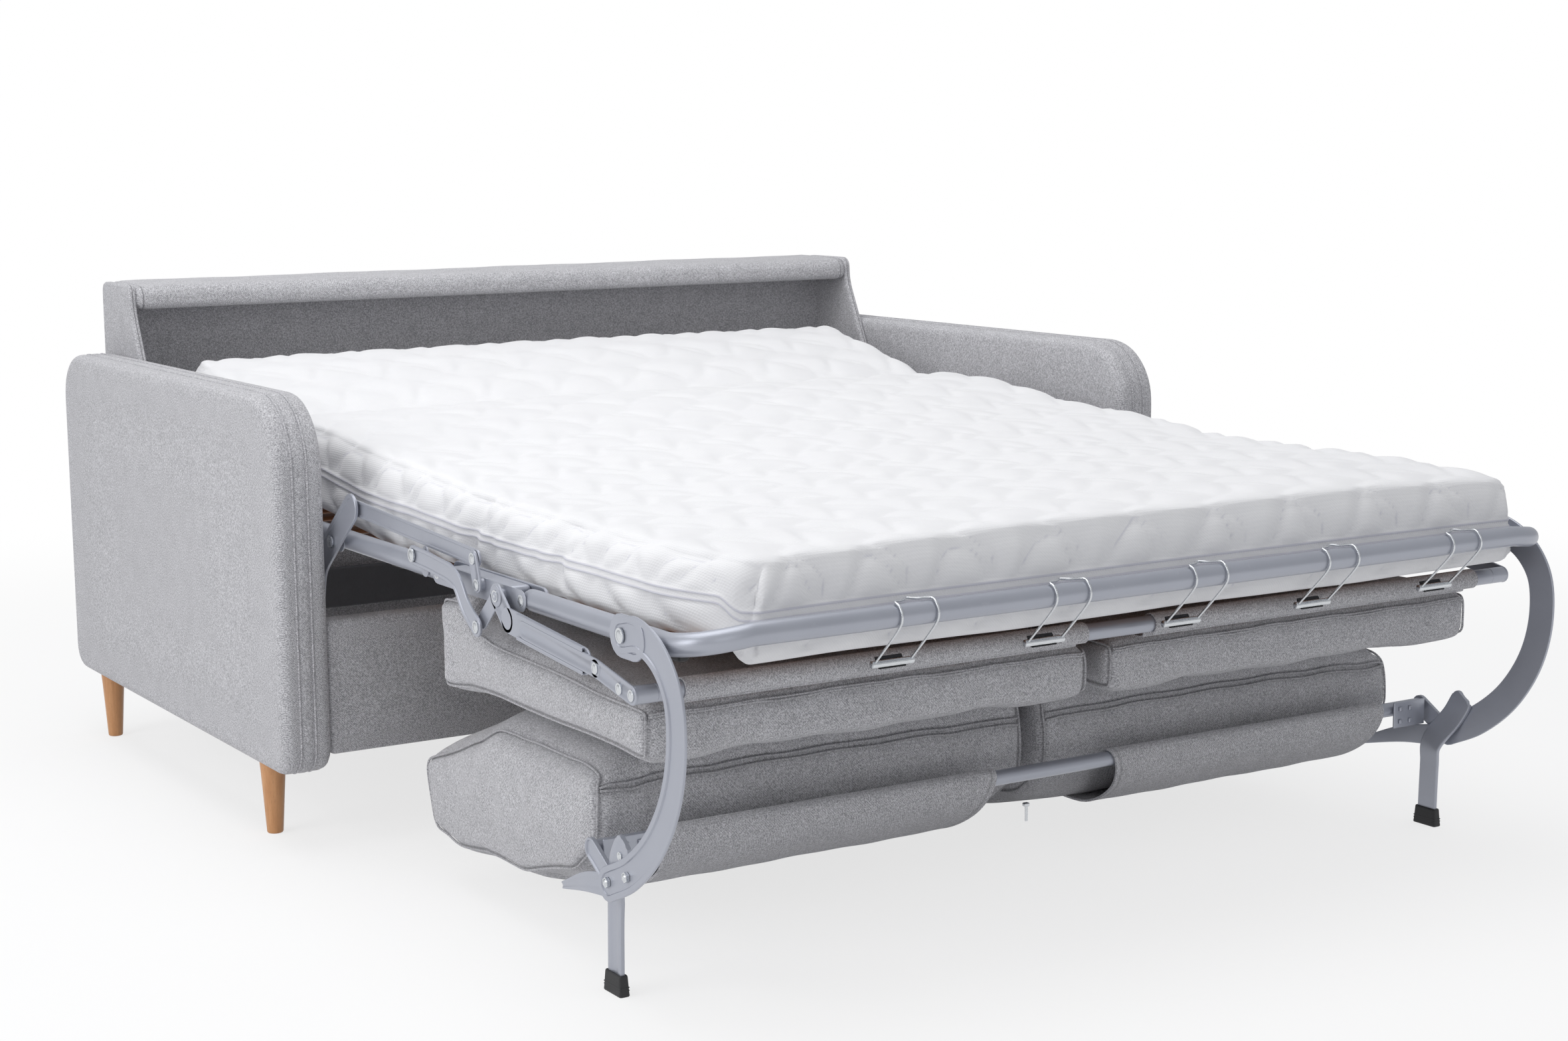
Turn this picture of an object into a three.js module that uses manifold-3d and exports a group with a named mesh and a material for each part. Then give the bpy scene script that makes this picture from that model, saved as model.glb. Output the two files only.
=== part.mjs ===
// Sleeper sofa with a fold-out bed, shown with the bed open.
// Millimetres, +Z up, +Y towards the sofa back, +X to the right as seen from the foot of the bed.
// The bed folds in a side view, so most places are given as [y, z] in that view.
import * as THREE from 'three';
import { mergeVertices } from 'three/addons/utils/BufferGeometryUtils.js';
import Module from 'manifold-3d';

const wasm = await Module();
wasm.setup();

// Sofa body sizes
const armThickness = 80;
const railSetBack = 15;
const armBackY = 890;
const armBottomZ = 122;
const armTopZ = 712;
const armFrontTopRadius = 112;
const armBackTopRadius = 84;
const armBottomRadius = 46;
const armEdgeRound = 22;
const armPipingHalfGap = 16;
const armPipingRound = 3;
const backRearY = 885;
const backPanelFrontY = 838;
const backTopZ = 838;
const backPadFrontY = 727;
const backPadEndRound = 8;
const backWingThickness = 14;
const backWingFootY = 560;
const backWingFootZ = 450;
const railPlateGap = 85.19;
const railThickness = 44;
const railBottomZ = 150;
const railTopZ = 362;
const railEdgeRound = 12;
const battenDepth = 22;
const battenHeight = 76;
const battenLowZ = 192;

// Wooden legs
const legHeight = 121.5;
const legTopRadius = 21.5;
const legFootRadius = 13;
const frontLegSetBack = 165;
const rearLegY = 805;
const legFootChamfer = 2.5;

// Bed frame tubes and section lengths
const tubeRadius = 15;
const tubeAxisZ = 484;
const headHingeY = 335;
const baseSectionLength = 835;
const midSectionLength = 265;
const footHingeToBackPivot = 285;
const backPivotToFootBar = 155;
const footBarRise = 16;
const footCornerRadius = 74;
const headFrameLength = 250;
const headTiltDegrees = 11;
const headTubeRadius = 14;
const headEyeRadius = 19;
const headCornerRadius = 60;
const seatPivotToFootHinge = 52;
const earThickness = 4.4;
const earRadius = 15;
const hingePinRadius = 5;
const runningGap = 0.4;
const seatGap = 0.3;
const cutOverrun = 2;

// Slats and their holders
const slatWidth = 38;
const slatThickness = 8;
const slatTopBelowAxis = 8;
const slatCamber = 4;
const holderLength = 15;
const holderWidth = 46;
const holderHeight = 18;

// Swing lever from the sofa side to the bed frame
const leverPivotZ = 260;
const leverWidth = 44;
const leverLinkOffsetY = -78;
const leverLinkOffsetZ = 61;
const sidePlateLength = 150;
const sidePlateHeight = 96;
const sidePlateShift = 34;
const sidePlateThickness = 3.7;
const pivotStudRadius = 8;
const pivotCollarRadius = 14;
const pivotHeadRadius = 12;

// Upper link, crank tab, S link and their bracket
const upperLinkEndZ = 525;
const upperLinkWidth = 25;
const crankTabFootZ = 490;
const crankTabWidth = 24;
const sLinkTopZ = 507;
const sLinkFootZ = 435;
const sLinkWidth = 25;
const bracketWidth = 22;
const bracketFootZ = 484;
const rivetRadius = 6;
const rivetHeadRadius = 10;
const rivetHeadHeight = 2.4;

// Seat frame under the foot of the bed
const seatArmLipThickness = 3;
const seatArmHeight = 36;
const seatArmTailZ = 443;
const seatArmChannelStartZ = 456;
const seatArmChannelEndZ = 438;
const seatSliderEndZ = 417;
const seatSliderHeight = 25;
const seatTubeRadius = 12;
const seatSleeveThickness = 2.5;
const seatSleeveHalfGap = 60;

// Back frame: curved arms, legs, cross tube, side bars and boots
const backArmReach = 134;
const backArmDrop = 318;
const backArmWidth = 46;
const backLegTopZ = 208;
const backLegKneeZ = 132;
const backLegFootZ = 27;
const backLegWidth = 40;
const flangeDepth = 28;
const flangeThickness = 3;
const backTubeZ = 187;
const backTubeRadius = 11;
const sideBarEndZ = 96;
const sideBarStartZ = 150;
const sideBarRadius = 5.5;
const bootHeight = 28;
const bootFootLength = 46;
const bootTopLength = 42;
const bootFootWidth = 15;
const bootTopWidth = 12;
const bootFloor = 9;

// Mattress and cushions
const mattressHalfWidth = 700;
const mattressThickness = 112;
const mattressBottomZ = 478;
const mattressEdgeRound = 26;
const mattressCrown = 6;
const cushionMiddleHalfGap = 3;
const seatCushionBottomZ = 315;
const seatCushionFootTopZ = 382;
const seatCushionRearTopZ = 408;
const seatLipTopZ = 458;
const seatLipDepth = 84;
const cushionEdgeRound = 16;
const cushionCrown = 6;
const backCushionTopZ = 307;
const backCushionBottomZ = 64;
const backCushionSideDrawIn = 10;
const flapThickness = 4;
const flapHalfGap = 105;

// Small fittings
const clipWireRadius = 2;
const clipWidth = 56;
const clipReach = 45;
const clipDrop = 70;
const clipNotch = 9;
const clipSlack = 1;
const clipAngles = [226, 193, 160, 127, 95];
const clipTubeRadius = 5;
const boltRadius = 5;
const boltHeadHeight = 4;
const boltInset = 22;
const screwHeadRadius = 6.5;
const screwHeadHeight = 2.2;

// Steps and clearances across the bed
const bedSideClearance = 35;
const headFrameInset = 81;
const sofaSideClearance = 45;
const legInset = 38;
const slatEndInset = 27;
const headSlatEndInset = 23;
const leverStep = 25;
const leverThickness = 5;
const upperLinkStep = 18;
const linkThickness = 4;
const crankTabStep = 23;
const sLinkStep = 33;
const seatArmWebThickness = 3;
const seatArmDepth = 7;
const backLegThickness = 7;
const seatCushionStep = 10;
const backCushionStep = 1;
const flapEndInset = 95;

// Steps along the bed
const leverRivetFromHinge = 357;
const leverReach = 163.19;
const bracketFromHinge = 40;
const bracketLean = 2;
const sLinkReach = 204;
const crankFromHinge = 139;
const crankLean = 11;
const tailLap = 2;
const channelLead = 20;
const channelLength = 220;
const sliderLap = 55;
const seatTubeFromPivot = 44;
const backTubeFromPivot = 100;
const backLegTopFromPivot = 14;
const backLegKneeFromPivot = 62;
const backLegFootLean = 4;
const sideBarFromPivot = 65;
const sideBarReach = 425;
const seatCushionOverhang = 20;
const seatCushionLap = 42;
const backCushionSetback = 130;
const backCushionLap = 148;
const mattressFootSetback = 33;
const mattressKneeLap = 30;
const mattressFoldLead = 120;
const mattressRiseLead = 30;
const mattressHeadMiddle = 185;
const mattressHeadLength = 355;
const backPadThickness = 46;

// Places across the bed, stepped outward from the mattress
const tubeCentreX = mattressHalfWidth + bedSideClearance;
const headTubeCentreX = tubeCentreX - headFrameInset;
const sofaInnerHalfWidth = tubeCentreX + sofaSideClearance;
const legCentreX = sofaInnerHalfWidth + legInset;
const slatHalfLength = tubeCentreX - slatEndInset;
const headSlatHalfLength = headTubeCentreX - headSlatEndInset;
const leverInnerX = tubeCentreX + leverStep;
const leverOuterX = leverInnerX + leverThickness;
const upperLinkInnerX = tubeCentreX + upperLinkStep;
const upperLinkOuterX = upperLinkInnerX + linkThickness;
const crankTabInnerX = tubeCentreX + crankTabStep;
const crankTabOuterX = crankTabInnerX + linkThickness;
const sLinkInnerX = tubeCentreX + sLinkStep;
const sLinkOuterX = sLinkInnerX + linkThickness;
const seatArmWebInnerX = tubeCentreX + leverStep;
const seatArmWebOuterX = seatArmWebInnerX + seatArmWebThickness;
const seatArmLipOuterX = seatArmWebInnerX + seatArmDepth;
const backArmInnerX = tubeCentreX + upperLinkStep;
const backArmOuterX = backArmInnerX + linkThickness;
const backLegInnerX = tubeCentreX - backLegThickness / 2;
const backLegOuterX = backLegInnerX + backLegThickness;
const backLegBoltedX = backArmInnerX - seatGap;
const seatCushionHalfWidth = tubeCentreX + seatCushionStep;
const backCushionHalfWidth = tubeCentreX + backCushionStep;
const flapOuterX = tubeCentreX - flapEndInset;

// Places along the bed, stepped from its hinges
const baseHingeY = headHingeY - baseSectionLength;
const footHingeY = baseHingeY - midSectionLength;
const seatPivotY = footHingeY + seatPivotToFootHinge;
const backPivotY = footHingeY - footHingeToBackPivot;
const footBarY = backPivotY - backPivotToFootBar;
const leverRivetY = baseHingeY + leverRivetFromHinge;
const leverPivotY = leverRivetY + leverReach;
const sidePlateFrontY = leverPivotY + sidePlateShift - sidePlateLength / 2;
const railFrontY = sidePlateFrontY - railPlateGap - railThickness;
const armFrontY = railFrontY - railSetBack;
const frontLegY = armFrontY + frontLegSetBack;
const bracketFootY = baseHingeY + bracketFromHinge;
const sLinkTopY = bracketFootY - bracketLean;
const sLinkFootY = sLinkTopY - sLinkReach;
const upperLinkEndY = baseHingeY - crankFromHinge;
const crankTabFootY = upperLinkEndY - crankLean;
const seatArmTailY = sLinkFootY - tailLap;
const seatArmChannelStartY = footHingeY + channelLead;
const seatArmChannelEndY = seatArmChannelStartY - channelLength;
const seatSliderStartY = seatArmChannelStartY - sliderLap;
const seatSliderEndY = backPivotY - seatTubeFromPivot;
const backTubeY = backPivotY + backTubeFromPivot;
const backLegTopY = backPivotY + backLegTopFromPivot;
const backLegKneeY = backPivotY + backLegKneeFromPivot;
const backLegFootY = backLegKneeY + backLegFootLean;
const sideBarStartY = backPivotY + sideBarFromPivot;
const sideBarEndY = sideBarStartY + sideBarReach;
const seatCushionFootY = backPivotY - seatCushionOverhang;
const seatCushionRearY = baseHingeY + seatCushionLap;
const backCushionFootY = backPivotY + backCushionSetback;
const backCushionRearY = baseHingeY + backCushionLap;
const mattressFootY = footBarY + mattressFootSetback;
const mattressKneeY = baseHingeY + mattressKneeLap;
const mattressHeadFoldY = headHingeY - mattressFoldLead;
const mattressRiseEndY = headHingeY - mattressRiseLead;
const mattressHeadMiddleY = headHingeY + mattressHeadMiddle;
const mattressHeadY = headHingeY + mattressHeadLength;
const backPadUndersideZ = backTopZ - backPadThickness;

// Places that follow from the sizes
const footBarZ = tubeAxisZ + footBarRise;
const tubeOuterX = tubeCentreX + tubeRadius;
const tubeInnerX = tubeCentreX - tubeRadius;
const leverLinkY = leverRivetY + leverLinkOffsetY;
const leverLinkZ = tubeAxisZ + leverLinkOffsetZ;
const backPanelThickness = backRearY - backPanelFrontY;
const sofaInnerLimit = sofaInnerHalfWidth - seatGap;
const originShiftY = -(footBarY - tubeRadius + armBackY) / 2;

// Finishes
const fabricMaterial = new THREE.MeshStandardMaterial({ color: 0xa3a4a8, roughness: 0.95, metalness: 0 });
const liningMaterial = new THREE.MeshStandardMaterial({ color: 0x4a4b50, roughness: 0.95, metalness: 0 });
const woodMaterial = new THREE.MeshStandardMaterial({ color: 0xc98a56, roughness: 0.5, metalness: 0 });
const slatMaterial = new THREE.MeshStandardMaterial({ color: 0xa9744d, roughness: 0.55, metalness: 0 });
const steelMaterial = new THREE.MeshStandardMaterial({ color: 0xa6abb6, roughness: 0.38, metalness: 0.6 });
const zincMaterial = new THREE.MeshStandardMaterial({ color: 0xc3cace, roughness: 0.28, metalness: 0.9 });
const plasticMaterial = new THREE.MeshStandardMaterial({ color: 0x1e1f21, roughness: 0.6, metalness: 0 });
const mattressMaterial = new THREE.MeshStandardMaterial({ color: 0xf4f4f6, roughness: 0.9, metalness: 0 });

// Solid helpers
function solidFrom(geometry) {
  const bare = geometry.index ? geometry.toNonIndexed() : geometry.clone();
  bare.deleteAttribute('normal');
  bare.deleteAttribute('uv');
  const merged = mergeVertices(bare, 1e-4);
  return new wasm.Manifold(new wasm.Mesh({
    numProp: 3,
    vertProperties: Float32Array.from(merged.attributes.position.array),
    triVerts: Uint32Array.from(merged.index.array),
  }));
}

function geometryFrom(solid) {
  const mesh = solid.getMesh();
  const geometry = new THREE.BufferGeometry();
  geometry.setAttribute('position', new THREE.BufferAttribute(Float32Array.from(mesh.vertProperties), 3));
  geometry.setIndex(Array.from(mesh.triVerts));
  geometry.computeVertexNormals();
  return geometry;
}

function union(solids) {
  return solids.reduce((whole, next) => whole.add(next));
}

function bothSides(solid) {
  return solid.add(solid.mirror([1, 0, 0]));
}

// An outline in the [y, z] side view, pushed from innerX to outerX.
function sidePlate(outline, innerX, outerX) {
  const shape = new THREE.Shape(outline.map(([y, z]) => new THREE.Vector2(y, z)));
  const geometry = new THREE.ExtrudeGeometry(shape, { depth: outerX - innerX, bevelEnabled: false });
  const basis = new THREE.Matrix4().makeBasis(
    new THREE.Vector3(0, 1, 0), new THREE.Vector3(0, 0, 1), new THREE.Vector3(1, 0, 0));
  basis.setPosition(innerX, 0, 0);
  geometry.applyMatrix4(basis);
  return solidFrom(geometry);
}

// A round-ended strip of one width along a smooth route in the side view.
function stripOutline(route, width, steps = 8) {
  const curve = new THREE.CatmullRomCurve3(route.map(([y, z]) => new THREE.Vector3(y, z, 0)));
  const count = steps * (route.length - 1);
  const left = [];
  const right = [];
  const half = width / 2;
  for (let i = 0; i <= count; i += 1) {
    const point = curve.getPoint(i / count);
    const along = curve.getTangent(i / count);
    left.push([point.x - along.y * half, point.y + along.x * half]);
    right.push([point.x + along.y * half, point.y - along.x * half]);
  }
  const cap = (end, from) => {
    const centre = curve.getPoint(end);
    const start = Math.atan2(from[1] - centre.y, from[0] - centre.x);
    const capSteps = 6;
    const points = [];
    for (let i = 1; i < capSteps; i += 1) {
      const angle = start - Math.PI * i / capSteps;
      points.push([centre.x + half * Math.cos(angle), centre.y + half * Math.sin(angle)]);
    }
    return points;
  };
  return [...left, ...cap(1, left[count]), ...right.reverse(), ...cap(0, right[count])];
}

function strip(route, width, innerX, outerX, steps) {
  return sidePlate(stripOutline(route, width, steps), innerX, outerX);
}

// A round bar along X.
function barX(radius, fromX, toX, [y, z], sides = 12) {
  const geometry = new THREE.CylinderGeometry(radius, radius, toX - fromX, sides);
  geometry.rotateZ(-Math.PI / 2);
  geometry.translate((fromX + toX) / 2, y, z);
  return solidFrom(geometry);
}

// A round bar between two points.
function barBetween(radius, from, to, sides = 12) {
  const start = new THREE.Vector3(...from);
  const along = new THREE.Vector3(...to).sub(start);
  const geometry = new THREE.CylinderGeometry(radius, radius, along.length(), sides);
  geometry.translate(0, along.length() / 2, 0);
  geometry.applyQuaternion(new THREE.Quaternion().setFromUnitVectors(
    new THREE.Vector3(0, 1, 0), along.clone().normalize()));
  geometry.translate(start.x, start.y, start.z);
  return solidFrom(geometry);
}

// A bar swept along a smooth curve.
function sweptBar(curve, radius, steps, sides) {
  const section = new THREE.Shape();
  for (let i = 0; i < sides; i += 1) {
    const angle = 2 * Math.PI * i / sides;
    const x = radius * Math.cos(angle);
    const y = radius * Math.sin(angle);
    if (i === 0) section.moveTo(x, y);
    else section.lineTo(x, y);
  }
  section.closePath();
  return solidFrom(new THREE.ExtrudeGeometry(section, {
    steps, extrudePath: curve, bevelEnabled: false,
  }));
}

function blockBetween([x0, y0, z0], [x1, y1, z1]) {
  const geometry = new THREE.BoxGeometry(x1 - x0, y1 - y0, z1 - z0);
  geometry.translate((x0 + x1) / 2, (y0 + y1) / 2, (z0 + z1) / 2);
  return solidFrom(geometry);
}

// A closed skin over rings of equal point counts; each ring lies in its own plane.
function loft(rings, flatten) {
  const count = rings[0].length;
  const positions = rings.flat().flatMap((point) => [point.x, point.y, point.z]);
  const index = [];
  for (let r = 0; r + 1 < rings.length; r += 1) {
    for (let i = 0; i < count; i += 1) {
      const next = (i + 1) % count;
      const low = r * count;
      const high = low + count;
      index.push(low + i, low + next, high + next);
      index.push(low + i, high + next, high + i);
    }
  }
  const capOf = (ring) => THREE.ShapeUtils.triangulateShape(ring.map(flatten), []);
  for (const [a, b, c] of capOf(rings[0])) index.push(a, c, b);
  const last = (rings.length - 1) * count;
  for (const [a, b, c] of capOf(rings[rings.length - 1])) index.push(last + a, last + b, last + c);
  const geometry = new THREE.BufferGeometry();
  geometry.setAttribute('position', new THREE.Float32BufferAttribute(positions, 3));
  geometry.setIndex(index);
  return solidFrom(geometry);
}

// A rectangle in the side view with its own radius at each corner, drawn anticlockwise.
function roundedOutline(low, high, radii, inset = 0, cornerSteps = 6) {
  const [y0, z0] = [low[0] + inset, low[1] + inset];
  const [y1, z1] = [high[0] - inset, high[1] - inset];
  const corners = [
    { centre: [1, 1], at: [y0, z0], radius: radii[0], start: Math.PI },
    { centre: [-1, 1], at: [y1, z0], radius: radii[1], start: 1.5 * Math.PI },
    { centre: [-1, -1], at: [y1, z1], radius: radii[2], start: 0 },
    { centre: [1, -1], at: [y0, z1], radius: radii[3], start: Math.PI / 2 },
  ];
  return corners.flatMap(({ centre, at, radius, start }) => {
    const r = Math.max(radius - inset, radius / 4);
    const points = [];
    for (let i = 0; i <= cornerSteps; i += 1) {
      const angle = start + (Math.PI / 2) * i / cornerSteps;
      points.push([at[0] + centre[0] * r + r * Math.cos(angle), at[1] + centre[1] * r + r * Math.sin(angle)]);
    }
    return points;
  });
}

// Rings of one side-view outline along X; outlineAt gives the outline at a station.
function loftAcross(stations, outlineAt) {
  const rings = stations.map((x) => outlineAt(x).map(([y, z]) => new THREE.Vector3(x, y, z)));
  return loft(rings, (point) => new THREE.Vector2(point.y, point.z));
}

// An outline evenly resampled and pulled towards its middle by inset.
function insetOutline(outline, inset) {
  const middle = outline.reduce(([y, z], point) => [y + point[0] / outline.length, z + point[1] / outline.length],
    [0, 0]);
  return outline.map(([y, z]) => {
    const dy = y - middle[0];
    const dz = z - middle[1];
    const reach = Math.hypot(dy, dz);
    const keep = Math.max(1 - inset / reach, 1 / 2);
    return [middle[0] + dy * keep, middle[1] + dz * keep];
  });
}

function resample(outline, count) {
  const closed = new THREE.CurvePath();
  outline.forEach(([y, z], i) => {
    const next = outline[(i + 1) % outline.length];
    closed.add(new THREE.LineCurve3(new THREE.Vector3(y, z, 0), new THREE.Vector3(next[0], next[1], 0)));
  });
  return closed.getSpacedPoints(count).slice(0, count).map((point) => [point.x, point.y]);
}

// How far a soft form draws in at a station: nothing in the middle, all of it at the ends.
function endInset(x, fromX, toX, round) {
  const fromEnd = Math.min(x - fromX, toX - x);
  const share = Math.min(fromEnd / round, 1);
  return round * (1 - Math.sqrt(1 - (1 - share) ** 2));
}

function stationsAcross(fromX, toX, round, middleCount) {
  const endShares = [0, 0.12, 0.4, 1];
  const low = endShares.map((share) => fromX + round * share);
  const high = endShares.map((share) => toX - round * share).reverse();
  const middle = [];
  for (let i = 1; i < middleCount; i += 1) {
    middle.push(fromX + round + (toX - fromX - 2 * round) * i / middleCount);
  }
  return [...low, ...middle, ...high];
}

const assembly = new THREE.Group();
assembly.position.y = originShiftY;

function addNode(name, solid, material) {
  const mesh = new THREE.Mesh(geometryFrom(solid), material);
  mesh.name = name;
  assembly.add(mesh);
}

// A piece on each side: the right one is built on +X and the left one mirrors it.
function addPair(name, solid, material) {
  addNode(`${name}_right`, solid, material);
  addNode(`${name}_left`, solid.mirror([1, 0, 0]), material);
}

// Sofa arms: an outer and an inner panel round over to a narrow centre strip
function buildArm() {
  const innerX = sofaInnerHalfWidth;
  const outerX = sofaInnerHalfWidth + armThickness;
  const middleX = (innerX + outerX) / 2;
  const radii = [armBottomRadius, armBottomRadius, armBackTopRadius, armFrontTopRadius];
  const profile = [
    [innerX, armEdgeRound * 0.75], [innerX + armEdgeRound * 0.3, armEdgeRound * 0.3],
    [middleX - armPipingHalfGap, armPipingRound], [middleX - armPipingHalfGap / 2, armPipingRound * 1.5],
    [middleX + armPipingHalfGap / 2, armPipingRound * 1.5], [middleX + armPipingHalfGap, 0],
    [outerX - armEdgeRound * 0.3, armEdgeRound * 0.3], [outerX, armEdgeRound * 0.9],
  ];
  const insetAt = new Map(profile);
  return loftAcross(profile.map(([x]) => x), (x) => roundedOutline(
    [armFrontY, armBottomZ], [armBackY, armTopZ], radii, insetAt.get(x)));
}
addPair('arm', buildArm(), fabricMaterial);

function buildLeg(y) {
  const z = legHeight;
  const profile = [
    [0, 0], [legFootRadius - legFootChamfer, 0], [legFootRadius, legFootChamfer], [legTopRadius, z], [0, z],
  ];
  const geometry = new THREE.LatheGeometry(profile.map(([r, height]) => new THREE.Vector2(r, height)), 24);
  geometry.rotateX(Math.PI / 2);
  geometry.translate(legCentreX, y, 0);
  return solidFrom(geometry);
}
addPair('front_leg', buildLeg(frontLegY), woodMaterial);
addPair('rear_leg', buildLeg(rearLegY), woodMaterial);

// Sofa back: a rear panel with a slanted wing on each side, and the padded top that overhangs the recess
function buildBackPanel() {
  const radii = [railEdgeRound, railEdgeRound, railEdgeRound, railEdgeRound];
  const low = [backPanelFrontY, armBottomZ];
  const topZ = backPadUndersideZ - seatGap;
  const panel = loftAcross([-sofaInnerLimit, sofaInnerLimit], () => roundedOutline(low, [backRearY, topZ],
    radii, 0, 3));
  const rearY = backPanelFrontY + backPanelThickness / 2;
  const wing = sidePlate([
    [backWingFootY, backWingFootZ], [rearY, backWingFootZ], [rearY, topZ], [backPadFrontY, topZ],
  ], sofaInnerLimit - backWingThickness, sofaInnerLimit);
  return union([panel, bothSides(wing)]);
}
addNode('back_panel', buildBackPanel(), fabricMaterial);

function buildBackPad() {
  const depth = backRearY - backPadFrontY;
  const height = backTopZ - backPadUndersideZ;
  const radii = [height * 0.35, height * 0.2, height * 0.4, height * 0.6];
  const slopeShare = 0.1;
  const stations = stationsAcross(-sofaInnerLimit, sofaInnerLimit, backPadEndRound, 4);
  return loftAcross(stations, (x) => {
    const inset = endInset(x, -sofaInnerLimit, sofaInnerLimit, backPadEndRound);
    const high = [backRearY, backTopZ];
    const outline = roundedOutline([backPadFrontY, backPadUndersideZ], high, radii, inset, 4);
    return outline.map(([y, z]) => {
      const rise = (z - backPadUndersideZ) / height;
      return [y, z - rise * slopeShare * height * (backRearY - y) / depth];
    });
  });
}
addNode('back_top_pad', buildBackPad(), fabricMaterial);

function buildFrontRail() {
  const radii = [railEdgeRound, railEdgeRound, railEdgeRound, railEdgeRound];
  const high = [railFrontY + railThickness, railTopZ];
  return loftAcross([-sofaInnerLimit, sofaInnerLimit], () => roundedOutline([railFrontY, railBottomZ], high,
    radii, 0, 4));
}
addNode('front_rail', buildFrontRail(), fabricMaterial);

function buildBatten() {
  const rearY = backPanelFrontY - seatGap;
  return blockBetween([-sofaInnerLimit, rearY - battenDepth, battenLowZ], [sofaInnerLimit, rearY,
    battenLowZ + battenHeight]);
}
addNode('inner_batten', buildBatten(), liningMaterial);

// Steel plates on the sofa sides carry the pivots of the swing levers
const sidePlateInnerX = sofaInnerLimit - sidePlateThickness;
const sidePlateBolts = [-1, 1].flatMap((endY) => [-1, 1].map((endZ) => [
  leverPivotY + sidePlateShift + endY * (sidePlateLength / 2 - boltInset), leverPivotZ + endZ * (sidePlateHeight / 2 - boltInset)]));

function buildSidePlate() {
  const half = [sidePlateLength / 2, sidePlateHeight / 2];
  const low = [leverPivotY + sidePlateShift - half[0], leverPivotZ - half[1]];
  const high = [leverPivotY + sidePlateShift + half[0], leverPivotZ + half[1]];
  const corner = boltInset / 2;
  const pivot = [leverPivotY, leverPivotZ];
  const headOuterX = leverInnerX - runningGap;
  const boltHeads = sidePlateBolts.map((place) => barX(boltRadius * 1.6, sidePlateInnerX - boltHeadHeight,
    sidePlateInnerX + sidePlateThickness / 2, place, 6));
  return union([
    sidePlate(roundedOutline(low, high, [corner, corner, corner, corner], 0, 3), sidePlateInnerX, sofaInnerLimit),
    barX(pivotCollarRadius, leverOuterX + runningGap, sidePlateInnerX + sidePlateThickness / 2, pivot, 16),
    barX(pivotStudRadius, headOuterX - rivetHeadHeight / 2, leverOuterX + cutOverrun, pivot, 14),
    barX(pivotHeadRadius, headOuterX - rivetHeadHeight / 2, headOuterX, pivot, 16),
    ...boltHeads,
  ]);
}
addPair('side_plate', buildSidePlate(), steelMaterial);

// Swing levers
function buildSwingLever() {
  const dy = leverRivetY - leverPivotY;
  const dz = tubeAxisZ - leverPivotZ;
  const route = [
    [leverPivotY, leverPivotZ], [leverPivotY + dy * 0.2, leverPivotZ + dz * 0.16],
    [leverPivotY + dy * 0.56, leverPivotZ + dz * 0.48], [leverPivotY + dy * 0.7, leverPivotZ + dz * 0.8],
    [leverRivetY, tubeAxisZ], [leverLinkY, leverLinkZ],
  ];
  const blade = strip(route, leverWidth, leverInnerX, leverOuterX, 5);
  const holes = [
    barX(pivotStudRadius + runningGap, leverInnerX - cutOverrun, leverOuterX + cutOverrun,
      [leverPivotY, leverPivotZ]),
    barX(rivetRadius + runningGap, leverInnerX - cutOverrun, leverOuterX + cutOverrun, [leverRivetY, tubeAxisZ]),
  ];
  return union([blade.subtract(union(holes)), rivetInward([leverLinkY, leverLinkZ], upperLinkInnerX,
    upperLinkOuterX, leverInnerX)]);
}

// A rivet that stands inward from a plate at rootX through a link between innerX and outerX.
function rivetInward(place, innerX, outerX, rootX) {
  const headOuterX = innerX - runningGap;
  return union([
    barX(rivetHeadRadius, outerX + runningGap, rootX + runningGap, place),
    barX(rivetRadius, headOuterX - rivetHeadHeight / 2, rootX, place, 12),
    barX(rivetHeadRadius, headOuterX - rivetHeadHeight, headOuterX, place),
  ]);
}

// A rivet that stands outward from a piece at rootX through a link between innerX and outerX.
function rivetOutward(place, innerX, outerX, rootX, shoulderRadius = rivetHeadRadius) {
  const headInnerX = outerX + runningGap;
  return union([
    barX(shoulderRadius, rootX, innerX - runningGap, place),
    barX(rivetRadius, rootX, headInnerX + rivetHeadHeight / 2, place, 12),
    barX(rivetHeadRadius, headInnerX, headInnerX + rivetHeadHeight, place),
  ]);
}

function rivetHole(place, innerX, outerX) {
  return barX(rivetRadius + runningGap, innerX - cutOverrun, outerX + cutOverrun, place);
}

// A round rivet head that only shows on a plate's face.
function rivetDome(place, faceX) {
  return barX(rivetHeadRadius * 0.9, faceX - rivetHeadHeight / 2, faceX + rivetHeadHeight * 0.8, place);
}
addPair('swing_lever', buildSwingLever(), steelMaterial);

// Upper links ride on the levers; their far ends lie beside the crank tabs
function buildUpperLink() {
  const start = [leverLinkY, leverLinkZ];
  const end = [upperLinkEndY, upperLinkEndZ];
  const bar = strip([start, end], upperLinkWidth, upperLinkInnerX, upperLinkOuterX, 1);
  const dome = barX(rivetHeadRadius * 0.9, upperLinkInnerX - rivetHeadHeight, upperLinkInnerX + runningGap, end);
  return union([bar.subtract(rivetHole(start, upperLinkInnerX, upperLinkOuterX)), dome]);
}
addPair('upper_link', buildUpperLink(), steelMaterial);

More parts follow.
